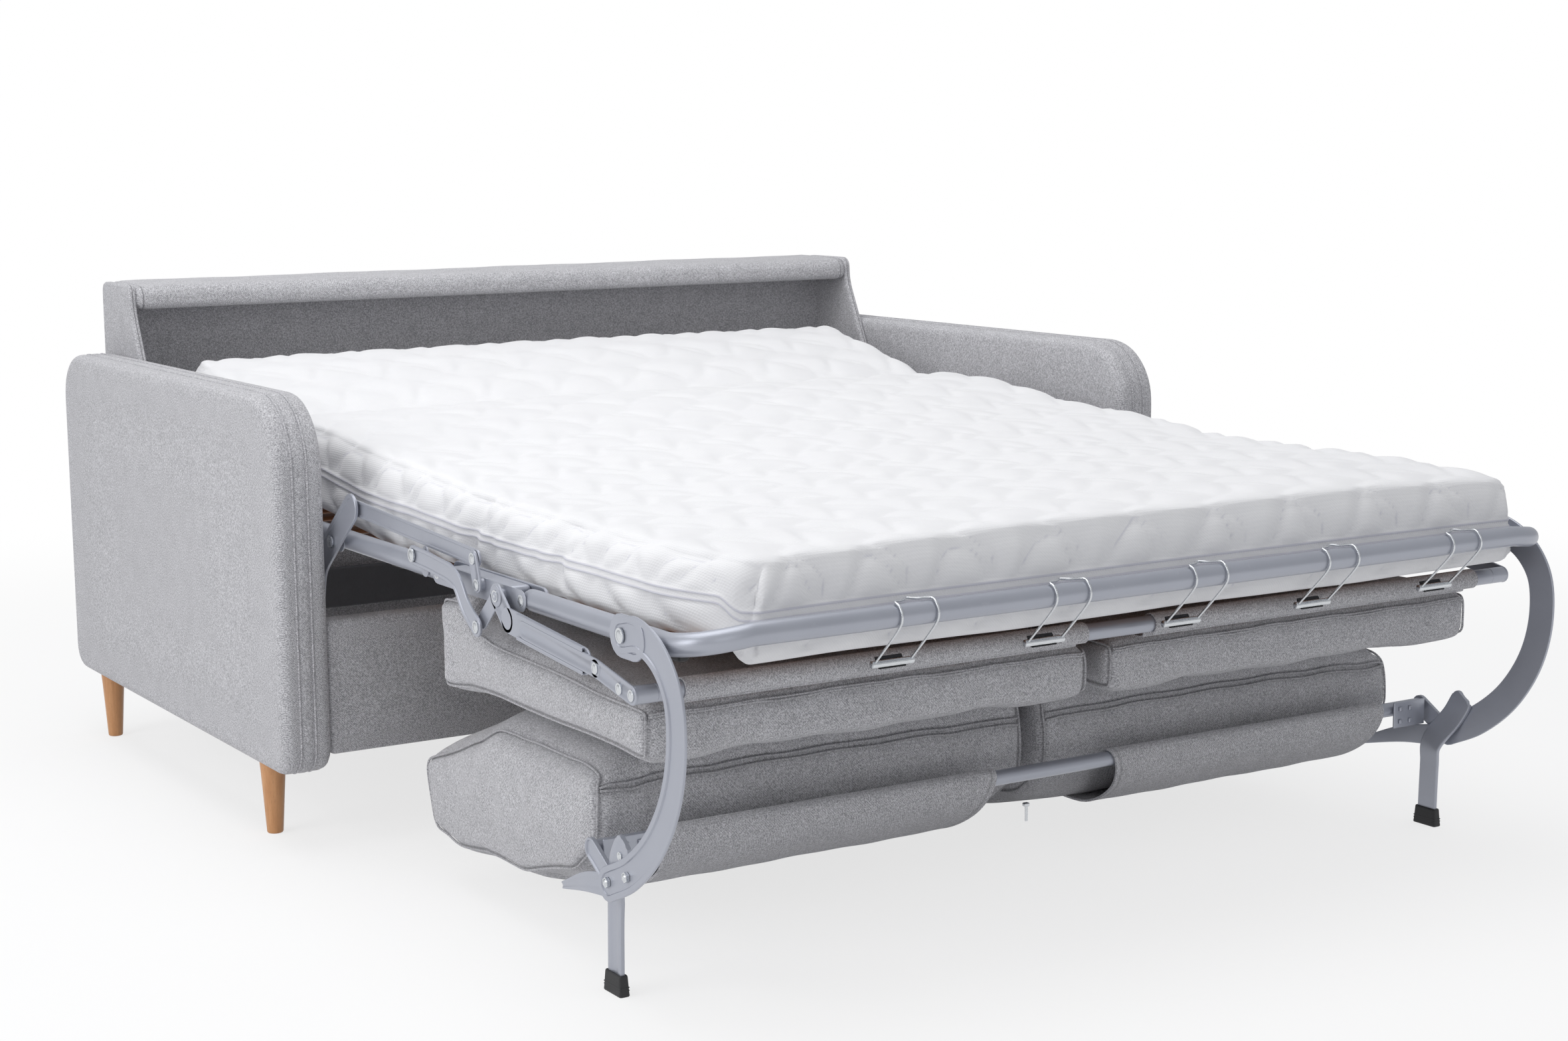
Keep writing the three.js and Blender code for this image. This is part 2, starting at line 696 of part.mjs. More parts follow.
// Base section: side tubes with end brackets, rear cross tube, slats
function buildBaseTube() {
  const tube = barBetween(tubeRadius, [tubeCentreX, baseHingeY, tubeAxisZ], [tubeCentreX, headHingeY, tubeAxisZ], 12);
  const nose = barX(tubeRadius, tubeInnerX + tubeRadius * 0.4, tubeOuterX - tubeRadius * 0.4,
    [baseHingeY, tubeAxisZ], 12);
  const pinHole = barX(hingePinRadius + runningGap, tubeInnerX - cutOverrun, tubeOuterX + cutOverrun,
    [baseHingeY, tubeAxisZ]);
  return union([
    tube.add(nose).subtract(pinHole),
    rivetOutward([leverRivetY, tubeAxisZ], leverInnerX, leverOuterX, tubeCentreX, rivetRadius * 1.2),
    strip([[bracketFootY, bracketFootZ], [sLinkTopY, sLinkTopZ]], bracketWidth, tubeOuterX - runningGap,
      upperLinkInnerX - runningGap, 1),
    rivetOutward([sLinkTopY, sLinkTopZ], sLinkInnerX, sLinkOuterX, tubeOuterX, rivetRadius * 1.2),
  ]);
}
addPair('base_tube', buildBaseTube(), steelMaterial);

const headCrossHalf = tubeInnerX - seatGap;
addNode('base_cross_tube', barX(headTubeRadius, -headCrossHalf, headCrossHalf, [headHingeY, tubeAxisZ], 20),
  steelMaterial);

// A slat from side to side with a low camber
function buildSlat(centreY, halfLength, half = slatWidth / 2) {
  const topZ = tubeAxisZ - slatTopBelowAxis - slatCamber;
  const segments = 8;
  const rings = [];
  for (let i = 0; i <= segments; i += 1) {
    const x = -halfLength + 2 * halfLength * i / segments;
    const lift = slatCamber * (1 - (x / halfLength) ** 2);
    const z = topZ + lift;
    rings.push([
      new THREE.Vector3(x, centreY - half, z - slatThickness), new THREE.Vector3(x, centreY + half,
        z - slatThickness),
      new THREE.Vector3(x, centreY + half, z), new THREE.Vector3(x, centreY - half, z),
    ]);
  }
  return loft(rings, (point) => new THREE.Vector2(point.y, point.z));
}

// Two slats in a double holder at each side; the holder's cups are joined by a low bridge
function buildSlatPair(centreY, pitch, halfLength, holderOuterX) {
  const middleZ = tubeAxisZ - slatTopBelowAxis - slatCamber - slatThickness / 2;
  const innerX = holderOuterX - holderLength;
  const centres = [centreY - pitch / 2, centreY + pitch / 2];
  const cups = centres.map((y) => blockBetween([innerX, y - holderWidth / 2, middleZ - holderHeight / 2],
    [holderOuterX, y + holderWidth / 2, tubeAxisZ + runningGap]));
  const bridge = blockBetween([innerX + holderLength / 2, centres[0], middleZ - holderHeight / 2],
    [holderOuterX, centres[1], middleZ]);
  return union([...centres.map((y) => buildSlat(y, halfLength)), bothSides(union([...cups, bridge]))]);
}

function addSlats(section, fromY, toY, pairs, halfLength, holderOuterX, turn = (solid) => solid) {
  const pitch = (toY - fromY - holderWidth) / (2 * pairs - 1);
  for (let i = 0; i < pairs; i += 1) {
    const centreY = fromY + holderWidth / 2 + pitch * (2 * i + 1 / 2);
    addNode(`${section}_slat_pair_${i + 1}`, turn(buildSlatPair(centreY, pitch, halfLength, holderOuterX)),
      slatMaterial);
  }
}
const baseSlatPairs = 5;
addSlats('base', baseHingeY + earRadius * 2, headHingeY - headEyeRadius * 2, baseSlatPairs, slatHalfLength,
  tubeInnerX - seatGap);

// Head section: a smaller frame that turns about the base's rear cross tube
function headTurn(solid) {
  return solid.translate([0, -headHingeY, -tubeAxisZ]).rotate([headTiltDegrees, 0, 0])
    .translate([0, headHingeY, tubeAxisZ]);
}

function buildHeadLoop() {
  const centre = [headHingeY, tubeAxisZ];
  const innerX = headTubeCentreX - headTubeRadius;
  const outerX = headTubeCentreX + headTubeRadius;
  const endY = headHingeY + headFrameLength;
  const eye = barX(headEyeRadius, innerX, outerX, centre, 16);
  const bore = barX(headTubeRadius + runningGap, innerX - cutOverrun, outerX + cutOverrun, centre, 16);
  const corner = headCornerRadius;
  const route = new THREE.QuadraticBezierCurve3(
    new THREE.Vector3(headTubeCentreX, endY - corner - seatGap, tubeAxisZ),
    new THREE.Vector3(headTubeCentreX, endY, tubeAxisZ),
    new THREE.Vector3(headTubeCentreX - corner - seatGap, endY, tubeAxisZ));
  const side = barBetween(headTubeRadius, [headTubeCentreX, headHingeY, tubeAxisZ],
    [headTubeCentreX, endY - corner, tubeAxisZ], 12);
  const half = union([side.add(eye).subtract(bore), sweptBar(route, headTubeRadius, 4, 12)]);
  const endHalf = headTubeCentreX - corner;
  return headTurn(union([bothSides(half), barX(headTubeRadius, -endHalf, endHalf, [endY, tubeAxisZ], 12)]));
}
addNode('head_loop', buildHeadLoop(), steelMaterial);
const headSlatPairs = 1;
addSlats('head', headHingeY + headEyeRadius * 1.5, headHingeY + headFrameLength - headCornerRadius, headSlatPairs,
  headSlatHalfLength, headTubeCentreX - headTubeRadius - seatGap, headTurn);

// Middle section: short channels with a hinge fork at each end and a crank tab on the outside
const crankTabFoot = [crankTabFootY, crankTabFootZ];

function buildMidTube() {
  const forkInner = tubeInnerX - runningGap;
  const forkOuter = tubeOuterX + runningGap;
  const route = [[baseHingeY, tubeAxisZ], [footHingeY, tubeAxisZ]];
  const cheeks = [forkInner - earThickness, forkOuter];
  const outerCheekThickness = (upperLinkInnerX - forkOuter) / 2;
  const bodyStart = baseHingeY - tubeRadius * 2;
  const bodyEnd = footHingeY + tubeRadius * 2;
  const pins = [baseHingeY, footHingeY].map((y) => barX(hingePinRadius, cheeks[0] + earThickness / 2,
    forkOuter + outerCheekThickness / 2, [y, tubeAxisZ]));
  return union([
    strip(route, earRadius * 2, cheeks[0], cheeks[0] + earThickness, 1),
    strip(route, earRadius * 2, forkOuter, forkOuter + outerCheekThickness, 1),
    blockBetween([cheeks[0] + earThickness / 2, bodyEnd, tubeAxisZ - earRadius],
      [forkOuter + outerCheekThickness / 2, bodyStart, tubeAxisZ + earRadius]),
    ...pins,
    rivetOutward([seatPivotY, tubeAxisZ], seatArmWebInnerX, seatArmWebOuterX, tubeCentreX),
    strip([[upperLinkEndY, upperLinkEndZ], crankTabFoot], crankTabWidth, crankTabInnerX, crankTabOuterX, 1),
    barX(rivetHeadRadius * 0.9, tubeCentreX, crankTabInnerX + runningGap, crankTabFoot),
    rivetDome([upperLinkEndY, upperLinkEndZ], crankTabOuterX),
    rivetDome(crankTabFoot, crankTabOuterX),
  ]);
}
addPair('mid_tube', buildMidTube(), steelMaterial);

const midSlatPairs = 1;
addSlats('mid', footHingeY + earRadius * 3, baseHingeY - earRadius * 3, midSlatPairs, slatHalfLength,
  tubeInnerX - runningGap - earThickness - seatGap);

// S links ride on the base; their far ends lie beside the tails of the seat arms
function buildSLink() {
  const dy = sLinkFootY - sLinkTopY;
  const dz = sLinkFootZ - sLinkTopZ;
  const route = [
    [sLinkTopY, sLinkTopZ], [sLinkTopY + dy * 0.34, sLinkTopZ + dz * 0.06],
    [sLinkTopY + dy * 0.68, sLinkTopZ + dz * 0.22], [sLinkTopY + dy * 0.84, sLinkTopZ + dz * 0.7],
    [sLinkFootY, sLinkFootZ],
  ];
  const blade = strip(route, sLinkWidth, sLinkInnerX, sLinkOuterX, 5);
  const hole = rivetHole([sLinkTopY, sLinkTopZ], sLinkInnerX, sLinkOuterX);
  return union([blade.subtract(hole), rivetDome([sLinkFootY, sLinkFootZ], sLinkOuterX)]);
}
addPair('s_link', buildSLink(), steelMaterial);

// Foot section: side tubes that bend up into the foot bar
function buildFootLoop() {
  const bendStartY = footBarY + footCornerRadius;
  const endX = tubeCentreX - footCornerRadius;
  const straight = barBetween(tubeRadius, [tubeCentreX, footHingeY, tubeAxisZ],
    [tubeCentreX, bendStartY, tubeAxisZ], 12);
  const bend = new THREE.QuadraticBezierCurve3(new THREE.Vector3(tubeCentreX, bendStartY + seatGap, tubeAxisZ),
    new THREE.Vector3(tubeCentreX, footBarY, (tubeAxisZ + footBarZ) / 2),
    new THREE.Vector3(endX - seatGap, footBarY, footBarZ));
  const nose = barX(tubeRadius, tubeInnerX + tubeRadius * 0.4, tubeOuterX - tubeRadius * 0.4,
    [footHingeY, tubeAxisZ], 12);
  const pinHole = barX(hingePinRadius + runningGap, tubeInnerX - cutOverrun, tubeOuterX + cutOverrun,
    [footHingeY, tubeAxisZ]);
  const half = union([
    straight.add(nose).subtract(pinHole),
    sweptBar(bend, tubeRadius, 6, 12),
    rivetOutward([backPivotY, tubeAxisZ], backArmInnerX, backArmOuterX, tubeCentreX),
  ]);
  return union([bothSides(half), barX(tubeRadius, -endX, endX, [footBarY, footBarZ], 12)]);
}
addNode('foot_loop', buildFootLoop(), steelMaterial);
const footSlatPairs = 3;
addSlats('foot', footBarY + footCornerRadius, footHingeY - earRadius * 2, footSlatPairs, slatHalfLength,
  tubeInnerX - seatGap);

// Wire clips over the foot bar, each with a short tube that held the mattress's strap
const clipCentreShares = [-0.64, -0.27, 0.09, 0.46, 0.83];
const clipCentres = clipCentreShares.map((share) => share * (tubeCentreX - footCornerRadius));
const clipTubePlace = [footBarY + clipReach, footBarZ - clipDrop];

function buildClip(centreX) {
  const over = tubeRadius + clipWireRadius + clipSlack;
  const half = clipWidth / 2;
  const round = (x, degrees) => {
    const angle = THREE.MathUtils.degToRad(degrees);
    return [x, footBarY + over * Math.cos(angle), footBarZ + over * Math.sin(angle)];
  };
  const hook = (x) => [[x, clipTubePlace[0], clipTubePlace[1]],
    ...clipAngles.map((degrees) => round(x, degrees))];
  const left = hook(centreX - half);
  const right = hook(centreX + half);
  const notch = [
    [centreX - half / 3, footBarY + over / 3, footBarZ + over],
    [centreX, footBarY + over / 3 + clipNotch, footBarZ + over],
    [centreX + half / 3, footBarY + over / 3, footBarZ + over],
  ];
  const route = [...left, ...notch, ...right.reverse()].map((place) => new THREE.Vector3(...place));
  const wire = sweptBar(new THREE.CatmullRomCurve3(route), clipWireRadius, 28, 5);
  return wire.add(barX(clipTubeRadius, centreX - half - clipWireRadius, centreX + half + clipWireRadius,
    clipTubePlace, 12));
}
clipCentres.forEach((x, i) => addNode(`mattress_clip_${i + 1}`, buildClip(x), zincMaterial));

// Seat frame: channels on the middle section, sliders in them, cross tube and sleeves
const seatSlope = (seatArmChannelEndZ - seatArmChannelStartZ) / (seatArmChannelEndY - seatArmChannelStartY);
const seatLineZ = (y) => seatArmChannelStartZ + (y - seatArmChannelStartY) * seatSlope;

function buildSeatArm() {
  const channel = [[seatArmChannelStartY, seatArmChannelStartZ], [seatArmChannelEndY, seatArmChannelEndZ]];
  const head = strip([[seatPivotY, tubeAxisZ], [seatArmChannelStartY, seatArmChannelStartZ]], seatArmHeight,
    seatArmWebInnerX, seatArmWebOuterX, 1);
  const tail = strip([[seatPivotY, tubeAxisZ], [seatArmTailY, seatArmTailZ]], crankTabWidth, seatArmWebInnerX,
    seatArmWebOuterX, 1);
  const web = strip(channel, seatArmHeight, seatArmWebInnerX, seatArmWebOuterX, 1);
  const lips = [1, -1].map((side) => {
    const offset = side * (seatArmHeight - seatArmLipThickness) / 2;
    const ends = [seatArmChannelStartY - seatArmHeight, seatArmChannelEndY];
    const half = seatArmLipThickness / 2;
    return sidePlate([
      [ends[0], seatLineZ(ends[0]) + offset - half], [ends[0], seatLineZ(ends[0]) + offset + half],
      [ends[1], seatLineZ(ends[1]) + offset + half], [ends[1], seatLineZ(ends[1]) + offset - half],
    ], seatArmWebInnerX + seatGap, seatArmLipOuterX);
  });
  const hole = rivetHole([seatPivotY, tubeAxisZ], seatArmWebInnerX, seatArmWebOuterX);
  return union([head, tail, web, ...lips]).subtract(hole);
}
addPair('seat_arm', buildSeatArm(), steelMaterial);

function buildSeatSlider() {
  const innerX = seatArmWebOuterX + runningGap;
  const end = [seatSliderEndY, seatSliderEndZ];
  const bend = [seatArmChannelEndY - seatArmHeight, seatLineZ(seatArmChannelEndY - seatArmHeight)];
  const start = [seatSliderStartY, seatLineZ(seatSliderStartY)];
  return union([
    strip([start, bend], seatSliderHeight, innerX, seatArmLipOuterX, 1),
    strip([bend, end], seatSliderHeight, innerX, seatArmLipOuterX, 1),
    rivetDome(bend, seatArmLipOuterX),
    rivetDome(end, seatArmLipOuterX - rivetHeadHeight / 2),
    barX(seatTubeRadius, tubeCentreX - seatGap, innerX + seatGap, end, 16),
  ]);
}
const seatTubePlace = [seatSliderEndY, seatSliderEndZ];
addNode('seat_slide_frame', union([bothSides(buildSeatSlider()),
  barX(seatTubeRadius, -tubeCentreX, tubeCentreX, seatTubePlace, 12)]), steelMaterial);

// A fabric sleeve round the seat's cross tube, with a web down to the cushion
function buildSeatSleeve() {
  const innerX = seatSleeveHalfGap;
  const outerX = backLegInnerX - backLegWidth;
  const outer = barX(seatTubeRadius + seatGap + seatSleeveThickness, innerX, outerX, seatTubePlace, 12);
  const flapReach = seatCushionFootY - seatSliderEndY + cushionEdgeRound;
  const slope = (seatCushionRearTopZ - seatCushionFootTopZ) / (seatCushionRearY - seatLipDepth - seatCushionFootY);
  const tongueZ = seatCushionFootTopZ + slope * cushionEdgeRound + seatGap;
  const web = blockBetween([innerX, seatSliderEndY, tongueZ],
    [outerX, seatSliderEndY + seatTubeRadius + seatSleeveThickness, seatSliderEndZ]);
  const bore = barX(seatTubeRadius + seatGap, innerX - cutOverrun, outerX + cutOverrun, seatTubePlace, 12);
  const tongue = blockBetween([innerX, seatSliderEndY, tongueZ],
    [outerX, seatSliderEndY + flapReach, tongueZ + seatSleeveThickness]);
  return outer.add(web).subtract(bore).add(tongue);
}
addPair('seat_sleeve', buildSeatSleeve(), fabricMaterial);

// Seat cushions: wedge with a raised lip at the sofa end, crowned underneath
function seatCushionOutline(crown) {
  const lipY = seatCushionRearY - seatLipDepth;
  const middleY = (seatCushionFootY + lipY) / 2;
  return [
    [seatCushionFootY, seatCushionBottomZ], [middleY, seatCushionBottomZ - crown],
    [seatCushionRearY, seatCushionBottomZ], [seatCushionRearY, (seatCushionBottomZ + seatLipTopZ) / 2],
    [seatCushionRearY, seatLipTopZ], [lipY, seatLipTopZ], [lipY, seatCushionRearTopZ],
    [seatCushionFootY, seatCushionFootTopZ],
  ];
}

function buildCushion(outlineAt, fromX, toX, round, count) {
  const stations = stationsAcross(fromX, toX, round, 4);
  return loftAcross(stations, (x) => {
    const middle = (fromX + toX) / 2;
    const share = 1 - ((x - middle) / (toX - middle)) ** 2;
    const inset = endInset(x, fromX, toX, round);
    return insetOutline(resample(outlineAt(cushionCrown * share), count), inset);
  });
}
addPair('seat_cushion', buildCushion(seatCushionOutline, cushionMiddleHalfGap, seatCushionHalfWidth,
  cushionEdgeRound, 32), fabricMaterial);

// Back frame: curved arms from the foot tubes down to the legs
const backArmShares = [
  [0, 0], [0.3, -0.02], [0.68, 0.04], [0.94, 0.17], [1, 0.36], [0.88, 0.58], [0.56, 0.79], [0.1, 0.95],
  [-0.35, 1.04],
];

const backBoltShares = [[0.04, 0.97], [-0.34, 1.03]];
const backPlace = ([across, down]) => [backPivotY - across * backArmReach, tubeAxisZ - down * backArmDrop];

function buildBackArm() {
  const blade = strip(backArmShares.map(backPlace), backArmWidth, backArmInnerX, backArmOuterX, 3);
  const boltHeads = backBoltShares.map((shares) => barX(boltRadius * 1.5, backArmInnerX + seatGap,
    backArmOuterX + boltHeadHeight, backPlace(shares), 6));
  return union([blade.subtract(rivetHole([backPivotY, tubeAxisZ], backArmInnerX, backArmOuterX)), ...boltHeads]);
}
addPair('back_arm', buildBackArm(), steelMaterial);

const backLegBendShare = 0.35;
function buildBackLeg() {
  const top = [backLegTopY, backLegTopZ];
  const knee = [backLegKneeY, backLegKneeZ];
  const foot = [backLegFootY, backLegFootZ];
  const bend = [backLegKneeY + (backLegTopY - backLegKneeY) * backLegBendShare,
    backLegKneeZ + (backLegTopZ - backLegKneeZ) * backLegBendShare];
  const sheet = [
    strip([top, bend], backLegWidth, backLegBoltedX - backLegThickness, backLegBoltedX, 1),
    strip([bend, knee], backLegWidth, backLegInnerX, backLegBoltedX, 1),
    strip([knee, foot], backLegWidth * 0.9, backLegInnerX, backLegOuterX, 1),
  ];
  const flange = blockBetween([backLegInnerX - flangeDepth, backLegTopY - backLegWidth / 4, backLegTopZ],
    [backLegBoltedX, backLegTopY + backLegWidth / 4, backLegTopZ + flangeThickness]);
  const barCentreX = (backLegInnerX + backLegBoltedX) / 2;
  const gusset = strip([[backTubeY, backTubeZ], [sideBarStartY, sideBarStartZ]], backTubeRadius * 2,
    backLegInnerX, backLegBoltedX, 1);
  const sideBar = barBetween(sideBarRadius, [barCentreX, sideBarStartY, sideBarStartZ],
    [barCentreX, sideBarEndY, sideBarEndZ], 10);
  return union([...sheet, flange, gusset, sideBar]);
}
addPair('back_leg', buildBackLeg(), steelMaterial);

const backTubeHalf = backLegInnerX - seatGap;
addNode('back_cross_tube', barX(backTubeRadius, -backTubeHalf, backTubeHalf, [backTubeY, backTubeZ], 16),
  steelMaterial);

function buildBoot() {
  const centre = [tubeCentreX, backLegFootY];
  const ring = (length, width, z) => [[-1, -1], [1, -1], [1, 1], [-1, 1]].map(([sx, sy]) => new THREE.Vector3(
    centre[0] + sx * width / 2, centre[1] + sy * length / 2, z));
  const body = loft([ring(bootFootLength, bootFootWidth, 0), ring(bootTopLength, bootTopWidth, bootHeight)],
    (point) => new THREE.Vector2(point.x, point.y));
  const half = backLegWidth * 0.45 + seatGap;
  const socket = blockBetween([backLegInnerX - seatGap, backLegFootY - half, bootFloor - seatGap],
    [backLegOuterX + seatGap, backLegFootY + half, bootHeight + cutOverrun]);
  return body.subtract(socket);
}
addPair('boot', buildBoot(), plasticMaterial);

// Back cushions: thick boxes that taper towards the sofa, and flaps that wrap the cross tube
const backCushionShares = [
  [0, 0.6], [0.01, 0.98], [0.07, 1], [0.5, 1], [0.58, 0.96], [0.965, 0.57], [1, 0.51], [0.95, 0.06],
  [0.78, 0], [0.4, 0.05], [0.12, 0.24], [0.01, 0.44],
];

function backCushionOutline() {
  const length = backCushionRearY - backCushionFootY;
  const height = backCushionTopZ - backCushionBottomZ;
  return backCushionShares.map(([along, up]) => [backCushionFootY + length * along, backCushionBottomZ + height * up])
    .reverse();
}
function buildFlap() {
  const wrap = backTubeRadius + flapThickness / 2 + seatGap * 2;
  const front = backTubeY - wrap;
  const route = [
    [backTubeY, backTubeZ + wrap], [backTubeY - wrap * 0.72, backTubeZ + wrap * 0.72], [front, backTubeZ],
    [front + wrap * 0.44, backTubeZ - wrap * 1.76], [backTubeY + wrap * 1.3, backTubeZ - wrap * 4],
    [backTubeY + wrap * 6.1, backTubeZ - wrap * 6.3], [backTubeY + wrap * 12.6, backTubeZ - wrap * 5.9],
  ];
  return strip(route, flapThickness, flapHalfGap, flapOuterX, 3);
}
addPair('back_cushion', buildCushion(backCushionOutline, cushionMiddleHalfGap, backCushionHalfWidth,
  backCushionSideDrawIn, 32).add(buildFlap()), fabricMaterial);

// Mattress: one foam body that bends with the frame, split where it folds
function mattressOutline(fromY, toY, crown) {
  const tilt = Math.tan(THREE.MathUtils.degToRad(headTiltDegrees));
  const rise = tubeAxisZ + headEyeRadius + runningGap - mattressBottomZ;
  const riseShare = (y) => THREE.MathUtils.clamp((y - mattressHeadFoldY) / (mattressRiseEndY - mattressHeadFoldY), 0, 1);
  const lift = (y) => rise * riseShare(y) + Math.max(y - headHingeY, 0) * tilt;
  const folds = [mattressRiseEndY, headHingeY, mattressHeadMiddleY];
  const columns = [fromY, ...folds.filter((y) => y > fromY && y < toY), toY];
  const low = columns.map((y) => [y, mattressBottomZ + lift(y)]);
  const high = columns.map((y) => [y, mattressBottomZ + mattressThickness + crown + lift(y)]).reverse();
  return [...low, ...high];
}

function buildMattress(fromY, toY, roundEnds) {
  const stations = stationsAcross(-mattressHalfWidth, mattressHalfWidth, mattressEdgeRound, 4);
  return loftAcross(stations, (x) => {
    const crown = mattressCrown * (1 - (x / mattressHalfWidth) ** 2);
    const inset = endInset(x, -mattressHalfWidth, mattressHalfWidth, mattressEdgeRound) / 2;
    const start = fromY + (roundEnds.includes('foot') ? inset : 0);
    const end = toY - (roundEnds.includes('head') ? inset : 0);
    const outline = mattressOutline(start, end, crown);
    const half = outline.length / 2;
    return outline.map(([y, z], i) => [y, i < half ? z + inset : z - inset]);
  });
}
addNode('mattress_head', buildMattress(mattressHeadFoldY + seatGap, mattressHeadY, ['head']), mattressMaterial);
addNode('mattress_base', buildMattress(mattressKneeY + seatGap, mattressHeadFoldY, []), mattressMaterial);
addNode('mattress_knee', buildMattress(footHingeY + seatGap, mattressKneeY, []), mattressMaterial);
addNode('mattress_foot', buildMattress(mattressFootY, footHingeY, ['foot']), mattressMaterial);

export default assembly;
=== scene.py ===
import logging
import math
from dataclasses import dataclass, replace
from enum import Enum
from typing import Sequence

import bmesh
import bpy
import numpy as np
from mathutils import Matrix, Vector
from mathutils.bvhtree import BVHTree
from mathutils.kdtree import KDTree


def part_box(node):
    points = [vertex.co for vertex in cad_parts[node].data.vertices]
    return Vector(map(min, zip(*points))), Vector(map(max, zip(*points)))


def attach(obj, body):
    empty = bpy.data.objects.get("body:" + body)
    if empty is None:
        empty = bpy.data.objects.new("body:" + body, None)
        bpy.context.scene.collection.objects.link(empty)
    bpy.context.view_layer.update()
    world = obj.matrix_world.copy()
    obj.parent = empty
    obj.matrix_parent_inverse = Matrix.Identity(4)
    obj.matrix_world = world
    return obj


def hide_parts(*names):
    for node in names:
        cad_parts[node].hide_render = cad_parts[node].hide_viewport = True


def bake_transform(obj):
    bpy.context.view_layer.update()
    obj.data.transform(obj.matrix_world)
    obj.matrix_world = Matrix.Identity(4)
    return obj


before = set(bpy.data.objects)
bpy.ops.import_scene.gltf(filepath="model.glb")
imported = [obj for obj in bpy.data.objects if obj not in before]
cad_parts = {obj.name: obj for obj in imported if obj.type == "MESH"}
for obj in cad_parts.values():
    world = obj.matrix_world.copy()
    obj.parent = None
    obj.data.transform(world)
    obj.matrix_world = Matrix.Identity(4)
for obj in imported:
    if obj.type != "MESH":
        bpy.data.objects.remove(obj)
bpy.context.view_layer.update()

logging.basicConfig(level=logging.INFO, format="%(message)s")
LOG = logging.getLogger("sofa_bed")

# The meshes are built in millimetres with y at 0 over the front legs, as the bed was measured.
MILLIMETRE = 0.001
ROW_SHIFT = 165.0
# What several parts share: the bed tubes' x and height, and the (y, z) of hinges, rivets and bars.
TUBE_X = 735.0
TUBE_AXIS = 484.0
HEAD_HINGE = (335.0, TUBE_AXIS)
HEAD_TILT = math.radians(11)
BASE_HINGE = (-500.0, TUBE_AXIS)
FOOT_HINGE = (-765.0, TUBE_AXIS)
BACK_PIVOT = (-1050.0, TUBE_AXIS)
LEVER_PIVOT = (20.19, 260.0)
LEVER_RIVET = (-143.0, TUBE_AXIS)
S_LINK_TOP = (-462.0, 507.0)
CRANK_TIP = (-639.0, 525.0)
FOOT_BAR = (-1205.0, 500.0)
FOOT_CORNER = 74.0
CUSHION_TUBE = (-950.0, 187.0)
# Edges that turn more than this many degrees stay crisp.
CRISP = 38.0

Place = tuple[float, float]
Point = tuple[float, float, float]


def to_row(points: np.ndarray) -> np.ndarray:
    """Millimetres of the measured bed as metres of the row frame."""
    return (np.asarray(points, float) + (0.0, ROW_SHIFT, 0.0)) * MILLIMETRE


def circle(sides: int) -> np.ndarray:
    """The points of a round section of radius 1."""
    turns = 2 * np.pi * np.arange(sides) / sides
    return np.stack([np.cos(turns), np.sin(turns)], axis=1)


def eased(share: np.ndarray) -> np.ndarray:
    """A share from 0 to 1 that starts and ends slowly."""
    return share * share * (3 - 2 * share)


def between(first: Place, last: Place, shares: Sequence[Place]) -> list[Place]:
    """Places between two others, by their shares of the way along y and along z."""
    (y0, z0), (y1, z1) = first, last
    return [(y0 + (y1 - y0) * a, z0 + (z1 - z0) * b) for a, b in shares]


class Cap(Enum):
    """How a skin closes its two ends."""

    FLAT = "flat"
    LOOP = "loop"


@dataclass
class Shape:
    """A closed skin in millimetres, with a share of seam at each point."""

    points: np.ndarray
    faces: list[tuple[int, ...]]
    seam: np.ndarray | None = None

    def seams(self) -> np.ndarray:
        """The share of seam at each point, 0 where none was set."""
        return self.seam if self.seam is not None else np.zeros(len(self.points))

    def with_shape(self, *others: "Shape") -> "Shape":
        """Joins other skins to this one.

        Args:
            others: the skins that are added.

        Returns:
            One shape that holds all of them.
        """
        points, faces, seams, start = [], [], [], 0
        for shape in (self, *others):
            points.append(shape.points)
            seams.append(shape.seams())
            faces += [tuple(i + start for i in face) for face in shape.faces]
            start += len(shape.points)
        return Shape(np.concatenate(points), faces, np.concatenate(seams))

    def mirrored(self) -> "Shape":
        """The same skin on the other side of the bed, still facing outward."""
        return Shape(self.points * (-1.0, 1.0, 1.0), [face[::-1] for face in self.faces], self.seam)

    def both_sides(self) -> "Shape":
        """This skin and its mirror image."""
        return self.with_shape(self.mirrored())

    def sewn(self, share: float) -> "Shape":
        """The same skin with one share of seam all over."""
        return Shape(self.points, self.faces, np.full(len(self.points), share))

    def turned(self, centre: Place, angle: float) -> "Shape":
        """Turns the skin in the side view.

        Args:
            centre: the (y, z) place that it turns about.
            angle: the turn in radians, positive from +Y to +Z.

        Returns:
            The turned shape.
        """
        y, z = self.points[:, 1] - centre[0], self.points[:, 2] - centre[1]
        cos, sin = math.cos(angle), math.sin(angle)
        points = np.stack([self.points[:, 0], centre[0] + y * cos - z * sin, centre[1] + y * sin + z * cos], axis=1)
        return Shape(points, self.faces, self.seam)


